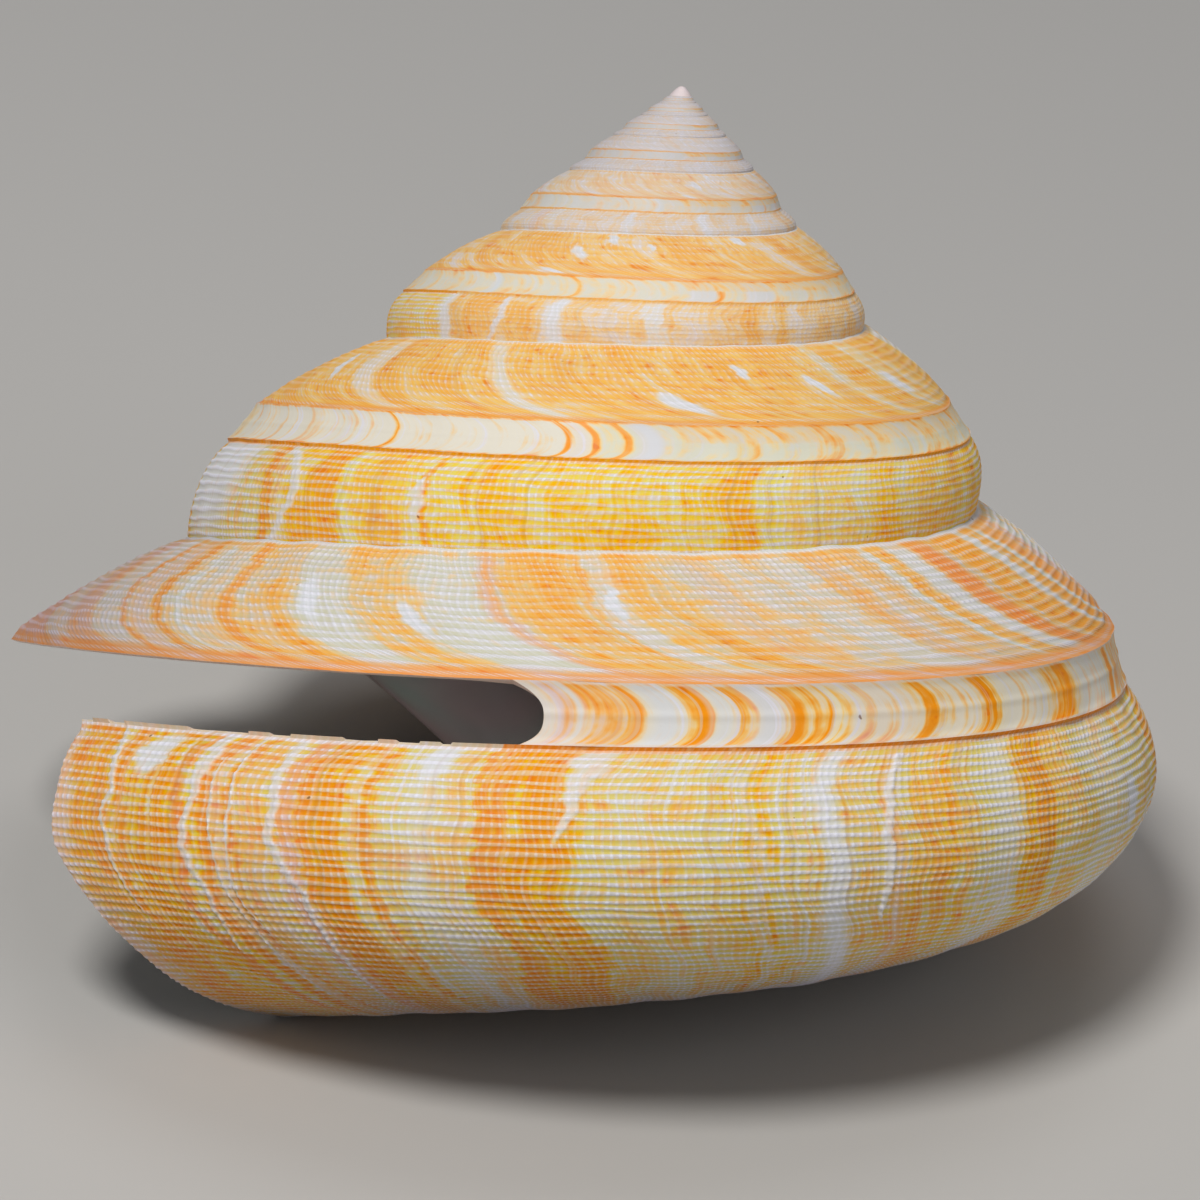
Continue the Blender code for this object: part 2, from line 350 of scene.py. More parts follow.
def scars(cord, age):
    """How much a place lies on a healed break, and how much on the newer shell just behind it."""
    whorl, degrees = whorl_and_degrees(age)
    on_line = np.zeros_like(age)
    behind = np.zeros_like(age)
    for own_whorl, line in SCARS:
        angles, ages, widths = np.array(line).T
        cords = np.interp(angles, arc_angles, arc_cords)
        width = np.interp(cord, cords, widths)
        jag = width * (0.3 * np.sin(1.3 * cord) + 0.25 * np.sin(2.7 * cord + ages[0]))
        ahead = degrees + jag - np.interp(cord, cords, ages)
        near = (whorl == own_whorl) * ease(cord, cords[0] - 0.5, cords[0] + 0.5)
        near = near * (1 - ease(cord, cords[-1] - 1.5, cords[-1] + 1.5))
        on_line = np.maximum(on_line, near * np.exp(-((ahead / (SCAR_FLATNESS * width)) ** 4)))
        behind += near * (ahead > 0) * np.exp(-np.maximum(ahead, 0) / SCAR_STEP_DEGREES)
    return on_line, behind


print("healed breaks:", len(SCARS))

# %% [markdown]
# ## Cords and beads
# Fine cords run along the spiral and finer threads cross them along the growth lines. Where two cross
# there is a bead. They are real relief here, a tenth of a millimetre high. A bump map alone would leave
# the outline smooth and would not catch the light at a grazing angle. The beads keep nearly the same size
# while the shell grows, so there are more of them on every whorl. The addresses of beads and cords,
# counted as the eye sees them, also go into the UV map, so the paint of the beads lands on the beads.

# %% Relief of the outer surface
RAMP_BEADS = 380
SIDE_BEADS = 460
FULL_COUNT_AGE = -0.25
RAMP_CORD_GAIN = 0.5
SIDE_CORD_GAIN = 0.22
BEAD_GAIN = 0.40
RAMP_RELIEF = 0.09 * MM
SIDE_RELIEF = 0.09 * MM
BASE_RELIEF = 0.06 * MM
BAND_RIM = 0.11 * MM
BAND_KEEL = 0.07 * MM
BAND_SAG = 0.09 * MM
SCAR_RIDGE = 0.08 * MM
SCAR_STEP = 0.07 * MM
SINK = 0.05 * MM
SWELL = 0.03 * MM
RELIEF_GAIN = 0.9
RIDGE_POWER = 1.6
BAND_RIM_SHARE = 0.08
BAND_KEEL_SHARE = 0.07
SLIT_RIM_FADE = 0.7
CORD_STRAY = 0.06
STRAY_RHYTHMS = ((7.3, 0.11, 0.2), (17.1, -0.23, 0.7), (2.9, 0.31, 0.4), (41.0, 0.43, 0.3))
BEAD_SLIP = 0.25
SLIP_RHYTHMS = ((11.7, 0.07, 0.1), (29.3, 0.13, 0.6), (5.1, -0.04, 0.9))
SWELL_RHYTHMS = ((23.7, 0.0, 0.3), (41.3, 0.01, 0.8), (9.1, 0.02, 0.1))


def waves(places, rhythms):
    """A value that wanders around 0: sine waves with (waves per turn, waves per cord, phase) each."""
    age, cord = places
    return sum(
        np.sin(2 * pi * (per_turn * age + per_cord * cord + phase)) for per_turn, per_cord, phase in rhythms
    )


def pattern_places(cord, age):
    """Cords and beads as the eye counts them: fewer on older whorls, and never quite regular."""
    before = np.minimum(age - FULL_COUNT_AGE, 0)
    after = np.maximum(age - FULL_COUNT_AGE, 0)
    on_ramp = cord <= BAND_TOP
    beads = np.where(on_ramp, RAMP_BEADS, SIDE_BEADS) * (after + np.expm1(BEAD_GAIN * before) / BEAD_GAIN)
    first = np.where(on_ramp, 0, BAND_FOOT)
    gain = np.where(on_ramp, RAMP_CORD_GAIN, SIDE_CORD_GAIN)
    seen = first + (cord - first) * np.exp(gain * before)
    stray = CORD_STRAY * waves((age, cord), STRAY_RHYTHMS)
    free = ease(cord, 0.5, 2.0) * (1 - ease(cord, RAMP_CORDS - 1.5, RAMP_CORDS - 0.2))
    free += ease(cord, BAND_FOOT + 0.2, BAND_FOOT + 1.5)
    return seen + stray * free, beads + BEAD_SLIP * waves((age, cord), SLIP_RHYTHMS)


def hump(phase):
    return 0.5 - 0.5 * np.cos(2 * pi * phase)


def relief(cord, age):
    """Height of the sculpture over the mean surface. It is less on older whorls, made by a smaller animal."""
    seen_cord, seen_bead = pattern_places(cord, age)
    ridge = hump(seen_cord) ** RIDGE_POWER
    thread = hump(seen_bead)
    band_share = (cord - BAND_TOP) / BAND_WIDTH
    near_suture = 1 - ease(cord, 2.0, 6.0)
    old = ease(-age, 0.5, 1.5)
    ramp = ridge * (0.55 - 0.35 * near_suture) + 0.5 * ridge * thread
    ramp += thread * (0.12 + 0.25 * near_suture + 0.2 * old)
    side = ridge * 0.65 + thread * 0.1 + 0.4 * ridge * thread
    base = ridge * 0.75 + 0.3 * ridge * thread
    to_base = ease(cord, SIDE_END - 10, SIDE_END + 2)
    lower = SIDE_RELIEF * side * (1 - to_base) + BASE_RELIEF * base * to_base
    lower = lower * ease(cord, BAND_FOOT + 0.4, BAND_FOOT + 1.3)
    upper = RAMP_RELIEF * ramp * (1 - ease(cord, BAND_TOP - 1.1, BAND_TOP - 0.4)) * ease(cord, 0.9, 1.7)
    height = np.where(cord <= BAND_TOP, upper, lower)
    on_band = (cord > BAND_TOP) & (cord < BAND_FOOT)
    height = np.where(on_band, 0.0, height)
    rims = sum(np.exp(-(((band_share - edge) / BAND_RIM_SHARE) ** 2)) for edge in (0, 1))
    keel = np.exp(-(((band_share - 0.5) / BAND_KEEL_SHARE) ** 2))
    sag = 4 * np.clip(band_share, 0, 1) * np.clip(1 - band_share, 0, 1)
    rims = rims * (1 - SLIT_RIM_FADE * ease(age, SLIT_END_AGE, SLIT_END_AGE + 0.02))
    height = height + BAND_RIM * rims + BAND_KEEL * keel - BAND_SAG * sag
    on_scar, behind_scar = scars(cord, age)
    height = height + SCAR_RIDGE * on_scar - SCAR_STEP * behind_scar
    swell = SWELL * waves((age, cord), SWELL_RHYTHMS)
    size = np.exp(RELIEF_GAIN * np.minimum(age - FULL_COUNT_AGE, 0))
    return (height + swell - SINK) * size


# %% [markdown]
# ## Walls as closed strips
# The wall is cut into strips along lines that the real shell has: the suture, both edges of the slit
# band, and a furrow between two cords. Each strip is a closed solid: a fine outer grid, a coarser inner
# grid at the wall's thickness, and bridges between them at the two long edges and the two ends. Strips
# that are closed keep the lip and the slit honest, since the cut edge of the wall can be seen there.
# Inside the mouth the animal lays pearl over the whorl before, so the cords sink into a smooth glaze
# there. The lower edge of the slit, which the animal's soft mantle rubs against, has a few small chips.

# %% Strip builder
WALL = 1.15 * MM
LIP_WALL = 0.75 * MM
LIP_EDGE = 0.38 * MM
LIP_THINNING_TURNS = (-0.15, 0.15)
YOUNG_WALL_TURN = -0.6
YOUNG_WALL_RATE = 0.55
NORMAL_REACH = 1.5
LIP_FADE = 0.022
SLIT_FADE_CORDS = 1.2
LIP_CORNER_LEADS = (
    (-34, 5.1), (-30, 2.6), (-26, 1.5), (-11, -0.4), (5, -0.6), (15, -2.2), (27, -2.6), (42, -2.2),
    (60, -0.7), (80, 0.2),
)
LIP_LEAD_TURNS = 0.05
COVER_CORD = float(np.interp(COVER_ANGLE, arc_angles, arc_cords))
GLAZED_RELIEF = 0.15
NIBBLES = ((47.0, 0.0, 0.1), (83.0, 0.0, 0.6), (23.0, 0.0, 0.35))
NIBBLE_DEPTH = 0.009
NIBBLE_REACH = 2.5
SHARP_DEGREES = 55


def place_turn(cord, age):
    """The turn of a place. Near the lower lip the edge leaves the growth lines, with a corner at the slit."""
    near_lip = ease(age, LOWER_LIP_AGE - LIP_LEAD_TURNS, LOWER_LIP_AGE)
    lead = smooth_through(LIP_CORNER_LEADS, side_angle(cord)) * near_lip
    return age - edge_trail(cord) + np.where(cord >= BAND_FOOT, lead, 0) / 360


def edge_normal(cord, turn):
    direction = edge_point(cord + NORMAL_REACH, turn) - edge_point(cord - NORMAL_REACH, turn)
    return outward(direction / np.linalg.norm(direction, axis=-1, keepdims=True))


def wall_thickness(cord, age, turn):
    thickness = WALL + (LIP_WALL - WALL) * ease(turn, *LIP_THINNING_TURNS)
    thickness = thickness * np.exp(YOUNG_WALL_RATE * np.minimum(turn - YOUNG_WALL_TURN, 0))
    lip_age = np.where(cord <= BAND_TOP, UPPER_LIP_AGE, LOWER_LIP_AGE)
    at_lip = 1 - ease(lip_age - age, 0, LIP_FADE)
    from_slit = np.where(cord <= BAND_TOP, BAND_TOP - cord, cord - BAND_FOOT)
    at_slit = (1 - ease(from_slit, 0, SLIT_FADE_CORDS)) * ease(age, SLIT_END_AGE, SLIT_END_AGE + LIP_FADE)
    return thickness + (LIP_EDGE - thickness) * np.maximum(at_lip, at_slit)


def glazed(cord, age):
    """How much of a place lies under the pearl that the mouth spreads over the whorl before it."""
    inside = ease(cord, COVER_CORD + 0.6, COVER_CORD + 1.6)
    return inside * (1 - ease(place_turn(cord, age), UPPER_LIP_AGE - 1.005, UPPER_LIP_AGE - 0.995))


def nibbled(cord, age):
    """The cord that a place is moved to where small chips have broken from the lower edge of the slit."""
    below = cord - BAND_FOOT
    chips = np.maximum(waves((age, cord), NIBBLES), 0) ** 2
    chips = chips * ease(age, SLIT_END_AGE + 0.005, SLIT_END_AGE + 0.02)
    return cord + NIBBLE_DEPTH * chips * (1 - ease(below, 0, NIBBLE_REACH)) * (below >= 0)


def laid(point, turn):
    return turned(point, turn) @ tilt.T + shift


def outer_places(cord, age):
    turn = place_turn(cord, age)
    height = relief(cord, age) * (1 - (1 - GLAZED_RELIEF) * glazed(cord, age))
    moved = nibbled(cord, age)
    return laid(edge_point(moved, turn) + edge_normal(cord, turn) * height[..., None], turn)


def smooth_places(cord, age):
    turn = place_turn(cord, age)
    return laid(edge_point(cord, turn), turn)


def inner_places(cord, age):
    turn = place_turn(cord, age)
    depth = wall_thickness(cord, age, turn)
    return laid(edge_point(nibbled(cord, age), turn) - edge_normal(cord, turn) * depth[..., None], turn)


def grid_addresses(mesh, first, cords, ages):
    """Cord and age of each vertex of a grid that runs from -1 to 1 both ways."""
    flat = np.array([vertex.co[:2] for vertex in mesh.verts[first:]])
    share = (flat + 1) / 2
    return cords[0] + (cords[1] - cords[0]) * share[:, 1], ages[0] + (ages[1] - ages[0]) * share[:, 0]


def add_grid(mesh, rows, columns, cords, ages, places):
    """Adds a grid and puts its vertices in their places. Returns them by row, and each one's cord and age."""
    mesh.verts.ensure_lookup_table()
    first = len(mesh.verts)
    faces_before = len(mesh.faces)
    bmesh.ops.create_grid(mesh, x_segments=columns, y_segments=rows, size=1)
    mesh.verts.ensure_lookup_table()
    mesh.faces.ensure_lookup_table()
    cord, age = grid_addresses(mesh, first, cords, ages)
    vertices = list(mesh.verts[first:])
    for vertex, place in zip(vertices, places(cord, age)):
        vertex.co = place
    across = columns + 1
    lines = [vertices[row * across : (row + 1) * across] for row in range(rows + 1)]
    return lines, list(mesh.faces[faces_before:]), np.stack([cord, age], axis=-1)


def bridge(mesh, first, second):
    edges = []
    for chain in (first, second):
        edges += [mesh.edges.get(pair) for pair in zip(chain, chain[1:])]
    return bmesh.ops.bridge_loops(mesh, edges=edges)["faces"]


def finish_piece(name, mesh, addresses, materials):
    """Makes the object, with its growth map: U counts beads and V counts cords."""
    bmesh.ops.recalc_face_normals(mesh, faces=mesh.faces)
    data = bpy.data.meshes.new(name)
    mesh.to_mesh(data)
    mesh.free()
    for material in materials:
        data.materials.append(material)
    corners = np.empty(len(data.loops), np.int32)
    data.loops.foreach_get("vertex_index", corners)
    seen_cord, seen_bead = pattern_places(addresses[:, 0], addresses[:, 1])
    growth = data.uv_layers.new(name="growth")
    counts = np.stack([seen_bead, seen_cord], axis=-1)[corners]
    growth.uv.foreach_set("vector", counts.ravel().astype(np.float32))
    for kind, amount in zip(PIGMENTS, pigment(*addresses.T).T):
        layer = data.attributes.new(kind, "FLOAT", "POINT")
        layer.data.foreach_set("value", amount.astype(np.float32))
    data.shade_smooth()
    data.set_sharp_from_angle(angle=radians(SHARP_DEGREES))
    piece = bpy.data.objects.new(name, data)
    bpy.context.scene.collection.objects.link(piece)
    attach(piece, "root")
    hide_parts("shell")
    data.calc_loop_triangles()
    print(f"{name}: {len(data.loop_triangles)} triangles")
    return piece


def shell_strip(name, cords, ages, rows, columns, inner_rows, materials, places=outer_places):
    """A closed stretch of wall. Materials are for the outside, the inside and the cut edges."""
    mesh = bmesh.new()
    outer, outer_faces, outer_addresses = add_grid(mesh, rows, columns, cords, ages, places)
    inner, inner_faces, inner_addresses = add_grid(mesh, inner_rows, columns, cords, ages, inner_places)
    cut_faces = bridge(mesh, outer[0], inner[0]) + bridge(mesh, outer[-1], inner[-1])
    for end in (0, -1):
        cut_faces += bridge(mesh, [line[end] for line in outer], [line[end] for line in inner])
    glaze = glazed(*outer_addresses.T) > 0.5
    mesh.verts.index_update()
    for face in inner_faces + [face for face in outer_faces if glaze[face.verts[0].index]]:
        face.material_index = 1
    for face in cut_faces:
        face.material_index = 2
    return finish_piece(name, mesh, np.concatenate([outer_addresses, inner_addresses]), materials)


# %% [markdown]
# ## Colour flames
# The shell is cream with orange and salmon flames. A flame is pigment that the lip laid down for a while,
# so its edges follow the growth lines, and it breaks off at the slit band, where other cells made the
# shell. The flames that can be seen are listed: the age in degrees at which each starts and ends, and its
# amounts of flame, blush and chalk. The hidden ones are drawn with a seed in the same rhythm.
# Small white spots are given by age, half length in degrees, cord and half height in cords. The keys are
# the region and the number of whorls back.

# %% Flames on the front of the shell
FLAMES = {
    ("ramp", 0): (
        (-80, -75, 0.35, 0.5, 0.1), (-75, -70, 0.8, 0.45, 0), (-69.7, -67.5, 0.1, 0, 0.5),
        (-67.5, -63.4, 0.85, 0.2, 0), (-63.2, -60.6, 0.05, 0.05, 0.6), (-60.4, -57.2, 0.7, 0.15, 0),
        (-57, -52.4, 0.9, 0.15, 0), (-52.4, -50, 0.5, 0.2, 0), (-49.6, -44.4, 0.75, 0.7, 0),
        (-43.8, -40, 0.1, 0.05, 0.6), (-39.8, -36.6, 0.7, 0.15, 0), (-36.2, -34.8, 0.1, 0, 0.55),
        (-34.6, -29, 0.5, 0.2, 0.05), (-28.6, -23.6, 0.5, 0.3, 0.05), (-23, -17, 0.25, 0.1, 0.25),
        (-17, -10, 0.32, 0.12, 0.1), (-10, -4.4, 0.35, 0.2, 0.1), (-4.2, 4.4, 0.55, 0.1, 0),
        (4.6, 7.6, 0.3, 0.1, 0.25), (8, 9.2, 0.7, 0.2, 0), (9.4, 18.8, 0.64, 0.1, 0),
        (18.8, 21.2, 0.5, 0.5, 0.1), (21.6, 29, 0.08, 0, 0.3), (29.2, 32, 0.34, 0, 0.1),
        (32.2, 38.2, 0.42, 0.1, 0), (38.6, 45, 0.12, 0, 0.25), (45.4, 52.4, 0.42, 0.15, 0),
        (53.2, 55.4, 0.8, 0.4, 0), (56, 60.6, 0.35, 0.1, 0.2), (61, 62, 0.1, 0, 0.6),
        (62.6, 64.2, 0.4, 0.1, 0.2), (64.4, 66.4, 0.9, 0.45, 0), (67, 71, 0.35, 0.35, 0.25),
        (71.4, 72.8, 0.6, 0.6, 0), (73, 78.8, 0.3, 0.15, 0.4), (79, 86, 0.3, 0.6, 0.15),
        (86, 92, 0.3, 0.3, 0.3), (92, 108, 0.25, 0.75, 0.15),
    ),
    ("band", 0): (
        (-80, -64, 0.5, 0.3, 0.1), (-62, -57, 0.7, 0.2, 0), (-56, -48, 0.45, 0.15, 0.1),
        (-47, -45, 0.7, 0.2, 0), (-44.4, -35, 0.2, 0, 0.5), (-33.6, -30.4, 0.9, 0.15, 0),
        (-30.2, -27.4, 0.45, 0.2, 0), (-27, -19, 0.25, 0, 0.3), (-17.4, -15.2, 0.9, 0.1, 0),
        (-15, -10, 0.25, 0.05, 0.2), (-9, -6.8, 0.9, 0.1, 0), (-6, 1.6, 0.25, 0.1, 0.3),
        (2, 2.8, 0.6, 0.1, 0), (4.4, 6.4, 0.5, 0.1, 0), (7, 9.4, 1.0, 0.15, 0), (9.8, 12.4, 0, 0.1, 0.85),
        (12.8, 14.6, 0.8, 0.15, 0), (14.8, 16.8, 0.05, 0, 0.7), (17, 18.6, 0.9, 0.1, 0),
        (19, 19.6, 0.5, 0.1, 0), (20, 23.2, 0, 0, 0.85), (23.6, 25.4, 0.85, 0.15, 0),
        (25.6, 29.2, 0.6, 0.35, 0), (29.4, 30.4, 0.1, 0.1, 0.7), (30.4, 32.2, 0.45, 0.45, 0.1),
        (32.4, 36, 0.05, 0.15, 0.6),
    ),
    ("side", 0): (
        (-80, -72, 0.7, 0.1, 0), (-66, -58, 0.75, 0.1, 0), (-56, -46, 0.32, 0, 0.15),
        (-45.6, -36.4, 0.18, 0, 0.3), (-35.6, -29, 0.4, 0, 0.1), (-29, -23.8, 0.8, 0, 0),
        (-23.2, -19.6, 0.08, 0, 0.4), (-19, -14.8, 0.34, 0, 0.1), (-14.6, -13.6, 0.5, 0.05, 0),
        (-13.4, -8.8, 0.64, 0.05, 0.05), (-8.4, -6.6, 0.35, 0.3, 0.15), (-6, -2.4, 0.3, 0.1, 0.1),
        (-2.2, 0.4, 0, 0, 0.85), (0.8, 4.6, 0.24, 0, 0.1), (5, 6.4, 0.42, 0, 0),
        (6.6, 7.4, 0.3, 0.1, 0.3), (7.6, 9.2, 0.44, 0.05, 0), (9.4, 15.8, 0.34, 0, 0.1),
        (16, 20.4, 0.32, 0, 0.15), (20.6, 23, 0.34, 0, 0.1), (23.8, 29.6, 0.86, 0, 0),
        (29.8, 31.2, 0.75, 0.3, 0), (31.2, 32.4, 1.1, 0.2, 0), (33, 35.4, 0.45, 0.15, 0.15),
        (35.6, 38.6, 0.2, 0, 0.4), (38.8, 41.2, 0.32, 0, 0.15), (41.2, 42.4, 0.9, 0.1, 0),
        (42.6, 43.6, 0.4, 0, 0.2), (43.8, 47.2, 0.9, 0.05, 0), (47.2, 48.2, 0.95, 0.4, 0),
        (48.4, 50.4, 0.35, 0.7, 0.1), (51.6, 54.6, 0.5, 0.25, 0.1), (54.6, 55.6, 0.95, 0.35, 0),
        (55.8, 57.2, 0.45, 0.25, 0.2), (57.2, 58.8, 0.95, 0.25, 0), (60.2, 61.6, 0.8, 0.6, 0),
        (61.8, 67, 0.7, 0, 0), (67.4, 69.2, 0.9, 0.2, 0), (69.8, 73, 0.75, 0.3, 0),
        (73, 75.2, 0.6, 0.4, 0), (75.4, 84, 0.3, 0.5, 0.3),
    ),
    ("ramp", 1): (
        (-58, -50, 0.35, 0, 0.15), (-40, -36, 0.3, 0, 0.2), (33, 37, 0.25, 0, 0.35),
        (60, 62, 0.95, 0.2, 0), (62.4, 68, 0.3, 0.1, 0.25), (-2, 0, 0.9, 0.15, 0), (10, 13, 0.8, 0.2, 0),
        (-80, 108, 0.66, 0.1, 0),
    ),
    ("band", 1): (
        (-80, -2, 0.3, 0, 0.1), (7.6, 9, 0.7, 0.1, 0), (10.4, 12, 0.6, 0, 0), (12, 23, 0.2, 0, 0.1),
        (23.4, 27, 0, 0.2, 0.9), (28.6, 29.8, 0.95, 0.15, 0), (33.6, 34.6, 0.5, 0.1, 0.1),
        (35, 37.4, 0.1, 0.1, 0.5), (37.8, 38.8, 1.0, 0.2, 0), (66, 67, 0.6, 0.1, 0),
        (38, 108, 0.12, 0, 0.4),
    ),
    ("side", 1): (
        (-45, -24, 0.45, 0.05, 0.05), (-24, -18, 0.6, 0.1, 0), (-18, -2, 0.4, 0, 0.1),
        (3, 8, 0.75, 0.05, 0), (8, 50, 0.46, 0, 0), (50.4, 51.6, 1.0, 0.15, 0), (53, 64, 0.55, 0, 0.05),
        (65, 70, 0.95, 0.15, 0), (70.2, 76, 0.62, 0.1, 0), (76.5, 79, 0.3, 0, 0.2),
        (79.2, 81.4, 0.9, 0.25, 0), (81.8, 108, 0.3, 0, 0.15), (-90, -45, 0.5, 0.1, 0),
    ),
    ("ramp", 2): (
        (-48, -40, 0.85, 0.2, 0), (-12, 8, 0.75, 0.1, 0), (40, 60, 0.75, 0.1, 0), (68, 70.6, 0.9, 0.2, 0),
        (-90, 108, 0.55, 0.1, 0),
    ),
    ("band", 2): (
        (9.6, 11.4, 1.0, 0.3, 0), (-6, 3, 0.1, 0.15, 0.7), (11, 19, 0.1, 0.15, 0.7),
        (47, 48.4, 0.6, 0.1, 0), (70, 71.6, 0, 0, 0.9), (-80, 108, 0.3, 0.05, 0.2),
    ),
    ("side", 2): (
        (-14, -10, 0.75, 0.1, 0), (-6, -1.6, 0.85, 0.1, 0), (19, 24, 0.15, 0, 0.5),
        (43.6, 47, 0, 0, 0.85), (50, 58, 0.7, 0.1, 0), (60.6, 74, 0.7, 0.1, 0), (74.6, 78, 0.1, 0, 0.7),
        (-90, 108, 0.42, 0.1, 0.1),
    ),
}
WHITE_SPOTS = {
    ("ramp", 0): ((6, 0.9, 8.1, 2.6), (31.4, 1.2, 11.2, 2.4), (43.4, 1.4, 9.0, 3.4)),
    ("ramp", 1): (
        (-54, 2.0, 10.8, 2.8), (-28.5, 1.5, 10.0, 2.4), (-14, 1.5, 6.8, 1.8), (6, 3.0, 14.0, 2.2),
        (76, 1.6, 9.0, 3.4),
    ),
    ("ramp", 2): (
        (-27, 2.6, 2.7, 2.2), (8, 0.9, 6.3, 1.5), (20, 1.8, 2.7, 3.2), (33, 2.4, 9.4, 2.9),
        (49, 2.6, 16.4, 1.0),
    ),
    ("side", 1): ((100, 13, 24.0, 13),),
    ("side", 0): ((-45.5, 1.8, 34.0, 3.6), (65.2, 1.9, 25.6, 2.8), (37, 1.6, 24.0, 3.0)),
}
FLAME_SEED = 11


def back_flames(random):
    """Flames for the stretch that the front list leaves out, in the same rhythm."""
    placed = []
    age = FRONT_AGES[1] - 360.0
    while age < FRONT_AGES[0] - 4:
        width = random.uniform(2.0, 9.0)
        kind = random.choice(3, p=(0.55, 0.27, 0.18))
        flame = (random.uniform(0.4, 0.85), 0.15, random.uniform(0.3, 0.6))[kind]
        blush = (random.uniform(0, 0.25), 0, random.uniform(0.3, 0.7))[kind]
        chalk = (0, random.uniform(0.15, 0.5), 0)[kind]
        placed.append((age, age + width, flame, blush, chalk))
        age += width + random.uniform(0.5, 5.0)
    return placed


random = np.random.default_rng(FLAME_SEED)
flame_list = {key: list(front) + back_flames(random) for key, front in FLAMES.items()}
print("flames:", {f"{region} {whorl}": len(flames) for (region, whorl), flames in flame_list.items()})

# %% [markdown]
# ## Pigment on the vertices
# Each cord lays its pigment down a little sooner or later than its neighbour, so the edge of a flame is
# ragged, in steps one cord wide. That is what makes the orange look woven. Here each cord gets its own
# small delay from a sum of sine waves of its number, and a flame's edges are softened over about a
# degree. The result is three amounts on every vertex: flame (yellow to orange), blush (salmon) and chalk
# (white). A fourth greys the low side: painted shade, partly the lime's own grey. An image would do the
# same for one side only, while these amounts cover the whole shell and bend with it.

# %% Amounts of flame, blush and chalk
PIGMENTS = ("flame_share", "blush_share", "chalk_share", "shade_and_grey_share")
# Painted shade: from these cords on, the low side is greyed, partly the lime's own grey.
PAINTED_SHADE_CORDS = (42, 66)
DULL_CORDS = (58, 70)
FLAME_EDGE = 1.3
QUIET_FLAME = 0.22
SPIRE_SHIFT = 40
SPOT_COVER = 0.9
SCAR_COVER = 0.65
SPIRE_COVER = 0.85
DULL_COVER = 0.4
# On the last whorl, past these ages the painted shade on the low side is lessened.
SHADE_LESSENED_DEGREES = (40, 75)
GREY_LIP_DEGREES = (45, 95)


def cord_delay(cord, degrees):
    """How late a cord lays down its pigment, in degrees."""
    number = np.floor(cord)
    steps = 0.35 * np.sin(number * 12.9898) + 0.3 * np.sin(number * 4.137 + degrees * 0.31)
    return steps + 0.5 * np.sin(cord * 0.37 + degrees * 0.11)


def flames_at(flames, degrees):
    """Amounts from one list of flames; where two overlap the earlier in the list lies on top."""
    total = np.zeros((len(degrees), 3))
    covered = np.zeros(len(degrees))
    for start, end, *kinds in flames:
        edge = min(FLAME_EDGE, 0.4 * (end - start))
        cover = ease(degrees, start - edge, start + edge) * (1 - ease(degrees, end - edge, end + edge))
        cover = cover * (1 - covered)
        total += cover[:, None] * np.array(kinds)
        covered += cover
    total[:, 0] += (1 - covered) * QUIET_FLAME
    return total


def laid_over(amounts, cover, kinds):
    """Amounts with a line or spot of other amounts laid over them."""
    line = np.stack(np.broadcast_arrays(*kinds, cover)[:3], axis=-1)
    return amounts + (line - amounts) * np.asarray(cover)[:, None]


def edge_lines(cord, whorl, degrees, amounts):
    """The white line at the suture and the orange lines along both edges of the slit band."""
    old = whorl > 0
    closed = old | (degrees < SLIT_END_AGE * 360)
    above = BAND_TOP - cord
    below = cord - BAND_FOOT
    over_band = np.where(old, 1 - ease(above, 0.5, 1.1), 0.85 - 0.85 * ease(above, 0.7, 1.7)) * (above >= 0)
    under_band = (1 - ease(below, 0.35, 0.8)) * (below >= 0)
    band_share = (cord - BAND_TOP) / BAND_WIDTH
    on_band = (band_share > 0) & (band_share < 1)
    upper_half = on_band * (1 - ease(band_share, 0.42, 0.52)) * old * (degrees < 20) * 0.8
    ledges = on_band * ((band_share < 0.04) | (band_share > 0.96)) * 0.7
    suture_line = (1 - ease(cord, 0.25, 0.6)) * 0.9
    first_gap = ease(cord, 0.4, 0.7) * (1 - ease(cord, 1.2, 1.8)) * 0.45
    lines = (
        (over_band, np.where(old, 1.0, 0.6), np.where(old, 0.35, 0.7), 0.0),
        (under_band, np.where(closed, 1.1, 0.25), np.where(old, 0.05, 0.3), np.where(closed, 0.0, 0.55)),
        (upper_half, 0.4, 0.15, 0.0),
        (ledges, np.where(old, 0.9, 0.2), 0.3, np.where(old, 0.0, 0.4)),
        (suture_line, 0.0, 0.0, 1.0),
        (first_gap, 0.8, 0.1, 0.0),
    )
    for cover, *kinds in lines:
        amounts = laid_over(amounts, cover, kinds)
    return amounts


def painted_shade_and_grey(cord, whorl, degrees):
    """Greying: painted shade to the base, partly the lime's own grey; a little on the spire and the ramp near
    the lip.
    """
    near_lip = 0.5 * ease(degrees, *GREY_LIP_DEGREES) * (whorl == 0) * (cord <= BAND_TOP)
    # Painted shade on the low side, partly the lime's own grey; less of it on the last whorl towards its
    # lower lip.
    low = ease(cord, *PAINTED_SHADE_CORDS) * (1 - 0.55 * ease(degrees, *SHADE_LESSENED_DEGREES) * (whorl == 0))
    return np.maximum.reduce([low, near_lip, 0.3 * ease(whorl, 2, 4)])


